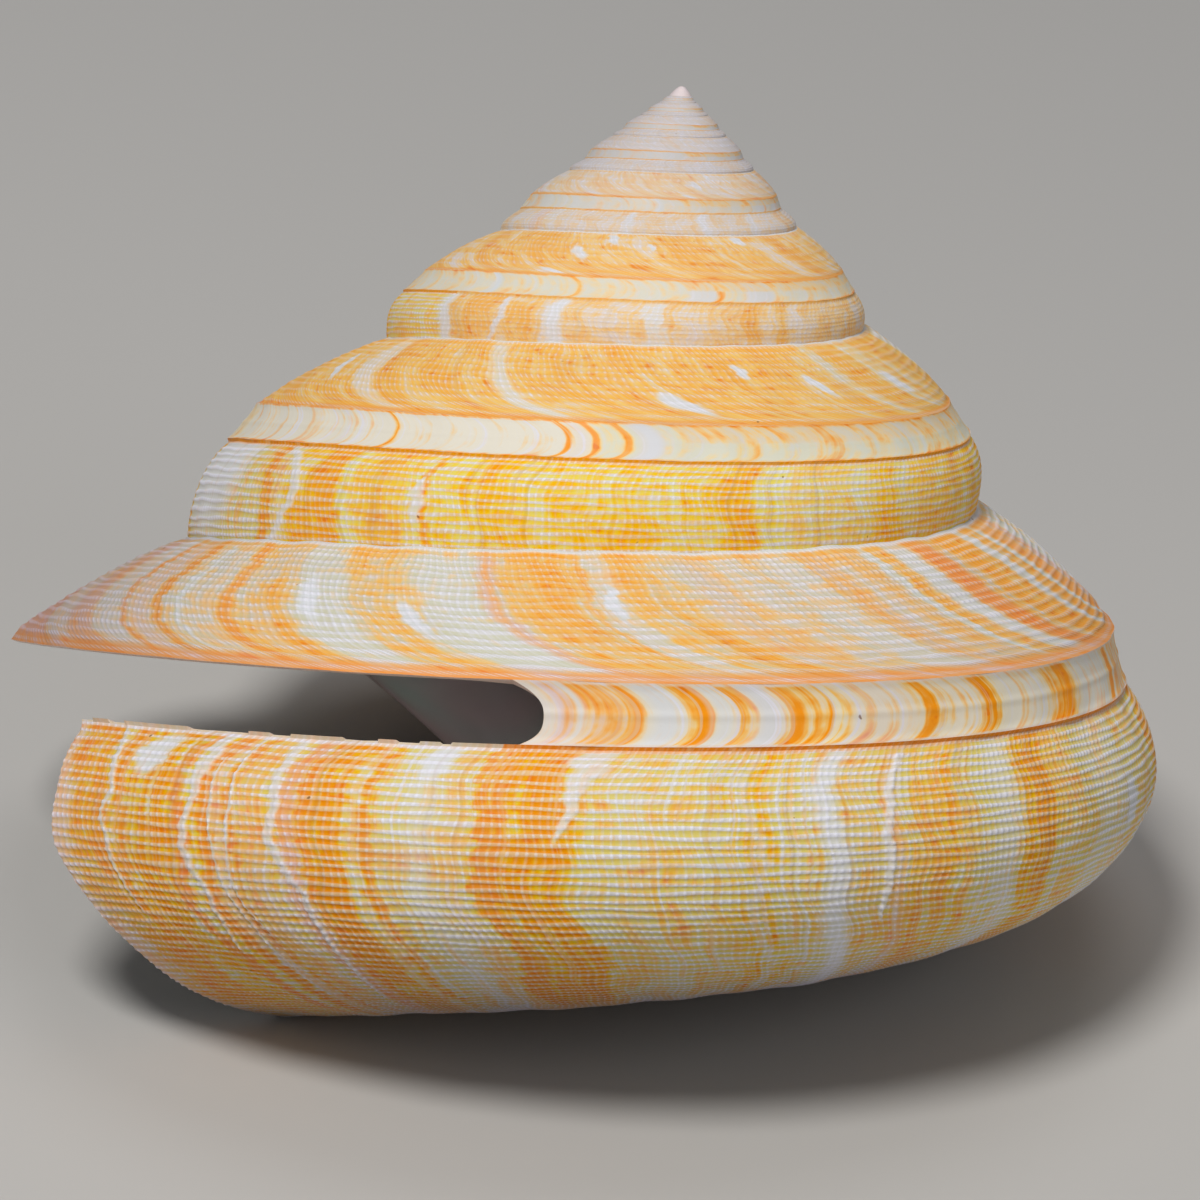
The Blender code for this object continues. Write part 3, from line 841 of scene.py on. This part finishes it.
def pigment(cord, age):
    """Amounts of flame, blush, chalk, and grey with painted shade, at each place."""
    whorl, degrees = whorl_and_degrees(age)
    off_band = (cord <= BAND_TOP) | (cord >= BAND_FOOT)
    place = degrees + cord_delay(cord, degrees) * off_band + SPIRE_SHIFT * np.maximum(whorl - 2, 0)
    place = np.where(place > FRONT_AGES[1], place - 360, place)
    amounts = np.zeros((len(cord), 3))
    regions = (("ramp", cord <= BAND_TOP), ("band", ~off_band), ("side", cord >= BAND_FOOT))
    for (region, inside), listed in product(regions, range(3)):
        own = inside & (np.minimum(whorl, 2) == listed)
        if not own.any():
            continue
        amounts[own] = flames_at(flame_list[region, listed], place[own])
        for centre, width, middle, height in WHITE_SPOTS.get((region, listed), ()):
            spread = ((place[own] - centre) / width) ** 2 + ((cord[own] - middle) / height) ** 2
            amounts[own] = laid_over(amounts[own], SPOT_COVER * (1 - ease(spread, 0.3, 1.3)), (0, 0, 1))
    amounts = laid_over(amounts, SCAR_COVER * ease(scars(cord, age)[0], 0.1, 0.9), (0, 0.15, 1))
    amounts = laid_over(amounts, SPIRE_COVER * ease(whorl, 2, 4), (0.2, 0.15, 0.75))
    amounts = edge_lines(cord, whorl, degrees, amounts)
    amounts = laid_over(amounts, DULL_COVER * ease(cord, *DULL_CORDS), (0.1, 0, 0.5))
    return np.column_stack([amounts, painted_shade_and_grey(cord, whorl, degrees)])


# %% [markdown]
# ## Node helpers
# A shader is a tree of small sums. Short helpers keep the trees readable: one adds a node and plugs in
# its inputs, one does a sum, one mixes two colours, one adds a noise, and a few start a group, a material
# or a bump. Colours are written as they look on a screen, from 0 to 255, and turned into the linear
# amounts that the renderer works in.

# %% Helpers for shader trees
def screen_colour(red, green, blue):
    """A colour as a screen shows it, in the linear amounts that shaders take."""
    shares = np.array([red, green, blue]) / 255
    amounts = np.where(shares <= 0.04045, shares / 12.92, ((shares + 0.055) / 1.055) ** 2.4)
    return (*amounts.tolist(), 1.0)


def plug_in(tree, node, inputs):
    for socket, value in inputs.items():
        if isinstance(value, bpy.types.NodeSocket):
            tree.links.new(value, node.inputs[socket])
        else:
            node.inputs[socket].default_value = value


def add_node(tree, kind, inputs=None, **settings):
    node = tree.nodes.new(kind)
    for setting, value in settings.items():
        setattr(node, setting, value)
    plug_in(tree, node, inputs or {})
    return node


def calc(tree, operation, first, second=0.0, third=0.0):
    inputs = {0: first, 1: second, 2: third}
    return add_node(tree, "ShaderNodeMath", inputs, operation=operation).outputs[0]


def noise(tree, places, scale, detail, **more):
    inputs = {"Vector": places, "Scale": scale, "Detail": detail} | more
    return add_node(tree, "ShaderNodeTexNoise", inputs).outputs[0]


def mix_colours(tree, amount, first, second):
    inputs = {0: amount, 6: first, 7: second}
    return add_node(tree, "ShaderNodeMix", inputs, data_type="RGBA", clamp_factor=True).outputs[2]


def new_group(name, inputs, outputs):
    """A shader node group from (name, kind) pairs. Returns the tree and its two end nodes."""
    tree = bpy.data.node_groups.new(name, "ShaderNodeTree")
    for direction, pairs in (("INPUT", inputs), ("OUTPUT", outputs)):
        for label, kind in pairs:
            tree.interface.new_socket(name=label, in_out=direction, socket_type=kind)
    return tree, tree.nodes.new("NodeGroupInput"), tree.nodes.new("NodeGroupOutput")


def use_group(tree, group, inputs):
    return add_node(tree, "ShaderNodeGroup", inputs, node_tree=group)


def new_material(name):
    """A material with its tree and its shader."""
    material = bpy.data.materials.new(name)
    material.use_nodes = True
    tree = material.node_tree
    return material, tree, tree.nodes["Principled BSDF"]


def add_bump(tree, strength, distance, height):
    inputs = {"Strength": strength, "Distance": distance, "Height": height}
    return add_node(tree, "ShaderNodeBump", inputs).outputs[0]


VALUE = "NodeSocketFloat"
COLOUR = "NodeSocketColor"

# %% [markdown]
# ## The woven pattern of cords and threads
# All the outer finishes share one effect: ridges along the spiral, threads along the growth lines, and a
# bead where they cross. The group reads the growth map, so the pattern follows the relief exactly.

# %% Group: cords and beads
def cosine_hump(tree, places):
    angle = calc(tree, "MULTIPLY", places, 2 * pi)
    return calc(tree, "MULTIPLY_ADD", calc(tree, "COSINE", angle), -0.5, 0.5)


PATTERN_OUTPUTS = ("Cords", "Beads", "Ridge", "Thread", "Bead")
weave, weave_in, weave_out = new_group("cords and beads", (), [(name, VALUE) for name in PATTERN_OUTPUTS])
growth_map = add_node(weave, "ShaderNodeUVMap", uv_map="growth")
growth_axes = add_node(weave, "ShaderNodeSeparateXYZ", {0: growth_map.outputs[0]})
counted_beads, counted_cords = growth_axes.outputs[:2]
weave_ridge = cosine_hump(weave, counted_cords)
weave_thread = cosine_hump(weave, counted_beads)
weave_bead = calc(weave, "MULTIPLY", weave_ridge, weave_thread)
weave_values = (counted_cords, counted_beads, weave_ridge, weave_thread, weave_bead)
plug_in(weave, weave_out, dict(zip(PATTERN_OUTPUTS, weave_values)))
print("group:", weave.name, [item.name for item in weave.interface.items_tree])

# %% [markdown]
# ## Pigment and wear
# The second group turns the stored amounts into paint. Pigment is strong in the furrows and thin on the
# cords, whose tops are worn to white lime. Every furrow has dashes of its own along the spiral, and fine
# growth streaks cross them all, so the noise is stretched one way for the dashes and the other way for
# the streaks. The third group adds what age does: faint stains and small dark specks, and the height for
# the bump.

# %% Group: pigment
CORD_QUIET = screen_colour(222, 220, 230)
CORD_FLAME = screen_colour(236, 200, 150)
SALMON = screen_colour(240, 126, 80)
EMBER = screen_colour(236, 112, 0)
GROWTH_MARK = screen_colour(176, 132, 72)
CHALK = screen_colour(218, 222, 230)
BEAD_WHITE = screen_colour(242, 242, 254)
# Grey that the colour is multiplied by: painted shade on the low side, partly the lime's own grey.
SHADE_AND_GREY_COLOUR = screen_colour(170, 166, 174)
STAIN = screen_colour(176, 160, 140)
SPECK = screen_colour(120, 80, 44)
BEAD_STAIN = 0.45
MARK_STRENGTH = 0.22


def map_range(tree, value, low, high, new_low=0.0, new_high=1.0):
    inputs = {0: value, 1: low, 2: high, 3: new_low, 4: new_high}
    settings = {"interpolation_type": "SMOOTHSTEP", "clamp": True}
    return add_node(tree, "ShaderNodeMapRange", inputs, **settings).outputs[0]


COLOUR_INPUTS = ("Quiet colour", "Yellow colour", "Orange colour")
SHARE_INPUTS = ("Cord share", "Bead share", "Thread share", "Streak share", "Dash share")
paint, paint_in, paint_out = new_group(
    "pigment",
    [(name, VALUE) for name in PATTERN_OUTPUTS + SHARE_INPUTS] + [(name, COLOUR) for name in COLOUR_INPUTS],
    (("Colour", COLOUR), ("Streaks", VALUE)),
)
given = paint_in.outputs
flame, blush, chalk, shade_and_grey_amount = (
    add_node(paint, "ShaderNodeAttribute", attribute_name=kind).outputs["Fac"] for kind in PIGMENTS
)


def growth_noise(along_beads, along_cords, detail, shift=0.0, cords=given["Cords"]):
    """A noise in the growth map, stretched along the growth lines or along the cords."""
    across = calc(paint, "MULTIPLY_ADD", given["Beads"], along_beads, shift)
    down = calc(paint, "MULTIPLY", cords, along_cords)
    places = add_node(paint, "ShaderNodeCombineXYZ", {0: across, 1: down}).outputs[0]
    return noise(paint, places, 1.0, detail)


def around_zero(value, size):
    return calc(paint, "MULTIPLY", calc(paint, "SUBTRACT", value, 0.5), size)


streaks = growth_noise(0.85, 0.06, 2.0)
broad_streaks = growth_noise(0.16, 0.10, 2.0, shift=40.0)
spots = growth_noise(0.45, 0.9, 2.0, shift=80.0)
furrow_number = calc(paint, "ROUND", given["Cords"])
dashes = growth_noise(0.13, 3.7, 1.0, shift=160.0, cords=furrow_number)
strength = calc(paint, "MULTIPLY", around_zero(streaks, 1.9), given["Streak share"])
strength = calc(paint, "MULTIPLY_ADD", around_zero(dashes, 1.0), given["Dash share"], strength)
for part in (flame, around_zero(broad_streaks, 1.2), around_zero(spots, 1.0)):
    strength = calc(paint, "ADD", strength, part)
orange = map_range(paint, strength, 0.35, 0.95)
flame_paint = mix_colours(paint, orange, given["Yellow colour"], given["Orange colour"])
ember = map_range(paint, strength, 0.6, 1.0, 0.0, 0.6)
ember = calc(paint, "MULTIPLY", map_range(paint, spots, 0.58, 0.70), ember)
flame_paint = mix_colours(paint, ember, flame_paint, EMBER)
strength = map_range(paint, strength, 0.1, 0.6)
gap_paint = mix_colours(paint, strength, given["Quiet colour"], flame_paint)
cord_paint = mix_colours(paint, strength, CORD_QUIET, CORD_FLAME)
gap_paint = mix_colours(paint, calc(paint, "MULTIPLY", blush, 0.8), gap_paint, SALMON)
cord_paint = mix_colours(paint, calc(paint, "MULTIPLY", blush, 0.5), cord_paint, SALMON)
gap_paint = mix_colours(paint, calc(paint, "MULTIPLY", chalk, 0.9), gap_paint, CHALK)
cord_paint = mix_colours(paint, calc(paint, "MULTIPLY", chalk, 0.7), cord_paint, BEAD_WHITE)
pale_lines = map_range(paint, growth_noise(1.2, 0.03, 1.0, shift=120.0), 0.56, 0.70, 0.0, 0.6)
pale_lines = calc(paint, "MULTIPLY", pale_lines, given["Streak share"])
gap_paint = mix_colours(paint, pale_lines, gap_paint, cord_paint)
thin_threads = calc(paint, "MULTIPLY", calc(paint, "POWER", given["Thread"], 4.0), given["Thread share"])
gap_paint = mix_colours(paint, thin_threads, gap_paint, cord_paint)
cord_number = calc(paint, "FLOOR", given["Cords"])
cord_weight = growth_noise(0.06, 5.3, 1.0, shift=200.0, cords=cord_number)
cord_weight = map_range(paint, cord_weight, 0.35, 0.6, 0.45, 1.0)
on_cord = calc(paint, "MULTIPLY", map_range(paint, given["Ridge"], 0.38, 0.82), given["Cord share"])
painted = mix_colours(paint, on_cord, gap_paint, cord_paint)
on_bead = calc(paint, "MULTIPLY", map_range(paint, given["Bead"], 0.45, 0.95), given["Bead share"])
on_bead = calc(paint, "MULTIPLY", on_bead, cord_weight)
left_white = calc(paint, "MULTIPLY_ADD", strength, -BEAD_STAIN, 1.0)
on_bead = calc(paint, "MULTIPLY", on_bead, left_white)
painted = mix_colours(paint, on_bead, painted, BEAD_WHITE)
marks = map_range(paint, growth_noise(0.7, 0.02, 1.0, shift=240.0), 0.62, 0.72)
marks = calc(paint, "MULTIPLY", marks, calc(paint, "MULTIPLY", given["Cord share"], MARK_STRENGTH))
painted = mix_colours(paint, marks, painted, GROWTH_MARK)
# Painted shade: the colour is multiplied towards a grey by the stored amount, partly the lime's own grey.
shade_and_grey_inputs = {0: shade_and_grey_amount, 6: painted, 7: SHADE_AND_GREY_COLOUR}
shaded_and_greyed = add_node(paint, "ShaderNodeMix", shade_and_grey_inputs, data_type="RGBA", blend_type="MULTIPLY").outputs[2]
plug_in(paint, paint_out, {"Colour": shaded_and_greyed, "Streaks": streaks})

# %% Group: wear
wear, wear_in, wear_out = new_group(
    "wear",
    (("Colour", COLOUR), ("Streaks", VALUE), ("Ridge", VALUE), ("Bead", VALUE), ("Stain share", VALUE)),
    (("Colour", COLOUR), ("Height", VALUE)),
)
wear_places = add_node(wear, "ShaderNodeTexCoord").outputs["Object"]
stain_mask = map_range(wear, noise(wear, wear_places, 170.0, 5.0), 0.54, 0.76)
stain_mask = calc(wear, "MULTIPLY", stain_mask, wear_in.outputs["Stain share"])
worn = mix_colours(wear, stain_mask, wear_in.outputs["Colour"], STAIN)
speck_mask = map_range(wear, noise(wear, wear_places, 1300.0, 1.0), 0.80, 0.84, 0.0, 0.75)
worn = mix_colours(wear, speck_mask, worn, SPECK)
height = calc(wear, "MULTIPLY", wear_in.outputs["Ridge"], 0.4)
height = calc(wear, "MULTIPLY_ADD", wear_in.outputs["Bead"], 0.6, height)
height = calc(wear, "MULTIPLY_ADD", wear_in.outputs["Streaks"], 0.5, height)
height = calc(wear, "MULTIPLY_ADD", noise(wear, wear_places, 4000.0, 2.0), 0.12, height)
plug_in(wear, wear_out, {"Colour": worn, "Height": height})
print("groups:", [group.name for group in bpy.data.node_groups])

# %% [markdown]
# ## Outer finishes
# One recipe serves the ramp, the side, the band and the older whorls, each with its own quiet, yellow and
# orange colours and its own balance of cords and beads. The lime is satin: rough enough to look dry, and
# with little mirror light, since that would wash out the orange. Only the smooth band has a trace of
# clear coat. What differs lies in one table, so the recipes can be compared line by line.

# %% Outer finishes
BUMP_STRENGTH = 0.7
BUMP_DISTANCE = 0.05 * MM
SATIN_SPECULAR = 0.06
BAND_GLOSS = {"stain_share": 0.1, "roughness": 0.45, "coat": 0.05}
OUTER_FINISHES = {
    "ramp": (
        "beaded ramp", ((206, 202, 168), (240, 198, 108), (246, 170, 54)), (0.6, 0.6, 0.3, 0.45, 0.7), {},
    ),
    "side": (
        "beaded side", ((224, 204, 92), (240, 192, 0), (240, 148, 0)), (0.85, 0.85, 0.25, 0.8, 0.95), {},
    ),
    "band": (
        "slit band", ((238, 226, 196), (252, 208, 112), (255, 158, 0)), (0.0, 0.0, 0.0, 1.2, 0.0), BAND_GLOSS,
    ),
    "old band": (
        "old slit band", ((224, 222, 202), (248, 216, 144), (255, 158, 16)), (0.0, 0.0, 0.0, 0.5, 0.0),
        BAND_GLOSS,
    ),
    "old ramp": (
        "old ramp", ((228, 212, 170), (248, 208, 108), (248, 180, 66)), (0.4, 0.6, 0.5, 0.5, 0.5),
        {"relief_share": 0.6},
    ),
    "old side": (
        "old side", ((236, 220, 110), (250, 206, 0), (252, 166, 0)), (0.85, 0.85, 0.25, 0.4, 0.6),
        {"relief_share": 0.5},
    ),
    "spire": (
        "spire", ((234, 220, 194), (248, 212, 132), (248, 184, 86)), (0.4, 0.45, 0.45, 0.6, 0.8),
        {"relief_share": 0.5},
    ),
}


def outer_finish(name, colours, shares, stain_share=0.15, roughness=0.55, coat=0.0, relief_share=1.0):
    """A painted finish. Shares are how strongly cords, beads, threads, streaks and dashes show."""
    material, tree, shader = new_material(name)
    pattern = use_group(tree, weave, {})
    woven = {key: pattern.outputs[key] for key in PATTERN_OUTPUTS}
    tints = {key: screen_colour(*colour) for key, colour in zip(COLOUR_INPUTS, colours)}
    painted = use_group(tree, paint, woven | dict(zip(SHARE_INPUTS, shares)) | tints)
    sculpture = {key: woven[key] if shares[0] else 0.0 for key in ("Ridge", "Bead")}
    passed_on = {key: painted.outputs[key] for key in ("Colour", "Streaks")}
    aged = use_group(tree, wear, sculpture | passed_on | {"Stain share": stain_share})
    bump = add_bump(tree, BUMP_STRENGTH, BUMP_DISTANCE * relief_share, aged.outputs["Height"])
    settings = {
        "Base Color": aged.outputs["Colour"], "Normal": bump, "Roughness": roughness,
        "Specular IOR Level": SATIN_SPECULAR, "Coat Weight": coat, "Coat Roughness": 0.3,
    }
    plug_in(tree, shader, settings)
    return material


outside = {
    key: outer_finish(name, colours, shares, **more)
    for key, (name, colours, shares, more) in OUTER_FINISHES.items()
}
print("outer finishes:", [material.name for material in outside.values()])

# %% [markdown]
# ## Pearl and cut edges
# Inside, the shell is lined with nacre: thin plates that split the light into pink and green. The thin
# film of the Principled shader does just that. The cut edge of the wall at the lip shows the two layers
# together, so it is pale and slightly grainy.

# %% Inner finishes
def plain_finish(name, tints, noise_settings, ripple, settings):
    """Two colours mixed by a noise, over a fine ripple given as (scale, detail, strength, distance)."""
    material, tree, shader = new_material(name)
    places = add_node(tree, "ShaderNodeTexCoord").outputs["Object"]
    share = noise(tree, places, *noise_settings["size"], **noise_settings.get("more", {}))
    if "range" in noise_settings:
        share = map_range(tree, share, *noise_settings["range"])
    plug_in(tree, shader, settings | {"Base Color": mix_colours(tree, share, *tints)})
    if ripple:
        scale, detail, strength, distance = ripple
        bump = add_bump(tree, strength, distance, noise(tree, places, scale, detail))
        plug_in(tree, shader, {"Normal": bump})
    return material


pearl = plain_finish(
    "pearl", (screen_colour(240, 214, 214), screen_colour(206, 228, 220)),
    {"size": (60.0, 2.0), "more": {"Distortion": 0.8}, "range": (0.35, 0.65)},
    (260.0, 2.0, 0.4, 0.05 * MM),
    {
        "Roughness": 0.24, "Metallic": 0.2, "Coat Weight": 0.5, "Coat Roughness": 0.1,
        "Thin Film Thickness": 380.0,
    },
)
cut_edge = plain_finish(
    "cut edge", (screen_colour(240, 204, 186), screen_colour(246, 232, 222)),
    {"size": (1400.0, 3.0)}, (1400.0, 3.0, 0.5, 0.04 * MM), {"Roughness": 0.5},
)
tip_finish = plain_finish(
    "tip", (screen_colour(232, 206, 196), screen_colour(226, 220, 228)),
    {"size": (900.0, 3.0)}, None, {"Roughness": 0.4},
)
outside["pearl"] = pearl
print("inner finishes:", pearl.name, cut_edge.name, tip_finish.name)

# %% [markdown]
# ## The whorls
# Now the strips are made, from the lip back to the tip. The last whorl needs the finest grid, since its
# beads are largest in the picture. Ages count in turns, so one whorl of a strip is one turn long. The
# ramp starts a little inside the whorl before it, so that no gap shows at the suture.

# %% Strips of the last whorl
FINENESS = 1.0
RAMP_START = -0.9
SIDE_STRIP_CORDS = 12
SLIT_END_LEAD = 1.4 / 360
BAND_CORDS = (BAND_TOP + 0.001, BAND_FOOT - 0.001)


def whorl_strip(name, finish, cords, ages, rows_per_cord, columns_per_turn, inner_rows=3):
    rows = max(2, round((cords[1] - cords[0]) * rows_per_cord))
    columns = round((ages[1] - ages[0]) * columns_per_turn * FINENESS)
    places = smooth_places if finish == "pearl" else outer_places
    materials = (outside[finish], pearl, cut_edge)
    return shell_strip(name, cords, ages, rows, columns, inner_rows, materials, places)


def whorl_ages(back):
    """First and last ages of the ramp, the band and the side of a whorl, counted back from the lip."""
    lips = (UPPER_LIP_AGE, SLIT_END_AGE + SLIT_END_LEAD, LOWER_LIP_AGE)
    return [(lip - back - 1, lip - back) for lip in lips]


upper_ages, band_ages, lower_ages = whorl_ages(0)
whorl_strip("last_ramp_upper", "ramp", (RAMP_START, 9), upper_ages, 4, 1520, 4)
whorl_strip("last_ramp_lower", "ramp", (9, BAND_TOP), upper_ages, 4, 1520, 4)
for number, first_cord in enumerate(range(BAND_FOOT, SIDE_END, SIDE_STRIP_CORDS), start=1):
    side_cords = (first_cord, first_cord + SIDE_STRIP_CORDS)
    whorl_strip(f"last_side_{number}", "side", side_cords, lower_ages, 4, 1840)
whorl_strip("last_base", "side", (SIDE_END, EDGE_END), lower_ages, 2.5, 640, 8)
whorl_strip("last_band", "band", BAND_CORDS, band_ages, 10, 800, 16)

# %% Strips of the second whorl
upper_ages, band_ages, lower_ages = whorl_ages(1)
whorl_strip("second_ramp", "old ramp", (RAMP_START, BAND_TOP), upper_ages, 2.8, 1120)
whorl_strip("second_band", "old band", BAND_CORDS, band_ages, 4, 600)
whorl_strip("second_side", "old side", (BAND_FOOT, COVER_CORD + 1), lower_ages, 2.8, 1360)
whorl_strip("second_inside", "pearl", (COVER_CORD + 1, EDGE_END), lower_ages, 0.6, 160, 8)

# %% Strips of the spire
SPIRE = (
    ("third", 2, 1.8, 900), ("fourth", 3, 1.4, 600), ("fifth", 4, 1.2, 400), ("sixth", 5, 1, 240),
    ("seventh", 6, 0.8, 160), ("eighth", 7, 0.8, 120),
)
for word, back, rows_per_cord, columns_per_turn in SPIRE:
    upper_ages, band_ages, lower_ages = whorl_ages(back)
    grid = (rows_per_cord, columns_per_turn)
    whorl_strip(f"{word}_ramp", "spire", (RAMP_START, BAND_TOP), upper_ages, *grid)
    whorl_strip(f"{word}_band", "old band", BAND_CORDS, band_ages, 3, columns_per_turn // 2, 2)
    whorl_strip(f"{word}_side", "spire", (BAND_FOOT, COVER_CORD + 1), lower_ages, *grid)

# %% [markdown]
# ## Tip and columella
# Two turned forms close the shell on its axis. The tip is the first shell of the young animal, a smooth
# little dome. The columella is the pillar that the whorls turn round. It is spun from a profile and then
# given a spiral fold, as the real one has, and it ends under the base in a pad of pearl, because this
# kind has no open navel.

# %% Tip and columella
TIP_PROFILE = ((0.95, 1.5), (0.88, 1.2), (0.74, 0.92), (0.56, 0.66), (0.38, 0.46), (0.20, 0.30), (0.0, 0.24))
PILLAR_PROFILE = (
    (0.0, 17.0), (1.4, 17.5), (2.1, 20.0), (2.4, 25.0), (2.5, 30.0), (2.8, 35.0), (3.2, 40.0), (3.7, 44.0),
    (4.4, 47.0), (4.9, 48.6), (4.6, 49.8), (3.4, 50.5), (1.8, 50.9), (0.0, 51.0),
)
FOLD_SHARE = 0.12
FOLD_PITCH = 22 * MM


def spun(name, profile, finish, steps, fold=0.0):
    """A profile in millimetres, spun about the axis, folded along a spiral and laid down."""
    mesh = bmesh.new()
    chain = [mesh.verts.new((radius * MM, 0, -depth * MM)) for radius, depth in profile]
    edges = [mesh.edges.new(pair) for pair in zip(chain, chain[1:])]
    bmesh.ops.subdivide_edges(mesh, edges=edges, cuts=3, smooth=1.0)
    bmesh.ops.spin(
        mesh, geom=list(mesh.verts) + list(mesh.edges), cent=(0, 0, 0), axis=(0, 0, 1), dvec=(0, 0, 0),
        angle=2 * pi, steps=steps, use_merge=True,
    )
    bmesh.ops.remove_doubles(mesh, verts=mesh.verts, dist=0.002 * MM)
    rim = [edge for edge in mesh.edges if edge.is_boundary]
    if rim:
        bmesh.ops.holes_fill(mesh, edges=rim, sides=0)
    for vertex in mesh.verts:
        angle = np.arctan2(vertex.co.y, vertex.co.x)
        share = 1 + fold * np.sin(angle - 2 * pi * vertex.co.z / FOLD_PITCH)
        vertex.co.x *= share
        vertex.co.y *= share
        vertex.co = Vector(tilt @ np.array(vertex.co) + shift)
    addresses = np.zeros((len(mesh.verts), 2))
    return finish_piece(name, mesh, addresses, (finish,))


spun("tip", TIP_PROFILE, tip_finish, 48)
spun("columella", PILLAR_PROFILE, pearl, 96, FOLD_SHARE)

# %% [markdown]
# ## Floor, light and camera
# A pale floor and three soft lamps, as in a small studio. The camera stands where the photograph's camera
# stood: its height, turn and tilt come from fitting the sutures and the slit band in the picture to the
# growth laws.

# %% Floor
FLOOR_HALF_SIZE = 3.0
floor_mesh = bmesh.new()
bmesh.ops.create_grid(floor_mesh, x_segments=1, y_segments=1, size=FLOOR_HALF_SIZE)
floor_data = bpy.data.meshes.new("floor")
floor_mesh.to_mesh(floor_data)
floor_mesh.free()
floor_material, floor_tree, floor_shader = new_material("floor")
plug_in(floor_tree, floor_shader, {"Base Color": screen_colour(190, 188, 185), "Roughness": 0.9})
floor_data.materials.append(floor_material)
floor = bpy.data.objects.new("floor", floor_data)
bpy.context.scene.collection.objects.link(floor)

# %% Camera
PICTURE_WIDTH = 1200
PIVOT_DEPTH = 29.25 * MM
PIVOT_IN_PICTURE = (629.9, 530.2)
PIXELS_TO_PIVOT = 7652.0
SIZE_OF_PIXEL = 0.065 * MM
CAMERA_ELEVATION = radians(4.44)
CAMERA_ROLL = radians(6.71)
SENSOR_WIDTH = 36.0

right = Vector((1, 0, 0))
up = Vector((0, sin(CAMERA_ELEVATION), cos(CAMERA_ELEVATION)))
back = Vector((0, -cos(CAMERA_ELEVATION), sin(CAMERA_ELEVATION)))
rolled_right = right * cos(CAMERA_ROLL) + up * sin(CAMERA_ROLL)
rolled_up = up * cos(CAMERA_ROLL) - right * sin(CAMERA_ROLL)
across = PIVOT_IN_PICTURE[0] - PICTURE_WIDTH / 2
above = PICTURE_WIDTH / 2 - PIVOT_IN_PICTURE[1]
pivot = Vector((0, 0, -PIVOT_DEPTH))
camera_place = pivot + back * PIXELS_TO_PIVOT * SIZE_OF_PIXEL
aim = (back * PIXELS_TO_PIVOT + rolled_right * across + rolled_up * above).normalized()
aim_right = (rolled_right - aim * rolled_right.dot(aim)).normalized()
aim_up = aim.cross(aim_right)
tilt_matrix = Matrix(tilt.tolist())
camera_data = bpy.data.cameras.new("camera")
camera_data.sensor_width = SENSOR_WIDTH
camera_data.lens = SENSOR_WIDTH * PIXELS_TO_PIVOT / PICTURE_WIDTH
camera_data.clip_start = 0.01
camera = bpy.data.objects.new("camera", camera_data)
axes = [tilt_matrix @ axis for axis in (aim_right, aim_up, aim)]
facing = Matrix([[axis[row] for axis in axes] for row in range(3)]).to_4x4()
camera.matrix_world = Matrix.Translation(tilt_matrix @ camera_place + Vector(shift.tolist())) @ facing
bpy.context.scene.collection.objects.link(camera)
bpy.context.scene.camera = camera
print("camera at", [round(value, 3) for value in camera.location], "lens", round(camera_data.lens, 1))

# %% Lights
LAMPS = (
    ("key", (-0.16, -0.32, 0.60), 0.2, 3.2, (1.0, 0.985, 0.96)),
    ("fill", (0.50, -0.40, 0.40), 0.4, 0.6, (0.97, 0.98, 1.0)),
    ("top", (0.05, 0.20, 0.65), 0.4, 0.6, (1.0, 1.0, 1.0)),
)
LAMP_AIM = Vector((0, 0, 0.02))
SKY = (0.9, 0.93, 1.0, 1.0)
SKY_STRENGTH = 0.14
for name, place, size, power, tone in LAMPS:
    lamp = bpy.data.lights.new(name, "AREA")
    lamp.shape = "DISK"
    lamp.size = size
    lamp.energy = power
    lamp.color = tone
    holder = bpy.data.objects.new(name, lamp)
    holder.location = place
    holder.rotation_euler = (LAMP_AIM - holder.location).to_track_quat("-Z", "Y").to_euler()
    bpy.context.scene.collection.objects.link(holder)
world = bpy.data.worlds.new("studio")
world.use_nodes = True
plug_in(world.node_tree, world.node_tree.nodes["Background"], {0: SKY, 1: SKY_STRENGTH})
bpy.context.scene.world = world
bpy.context.scene.view_settings.view_transform = "Standard"
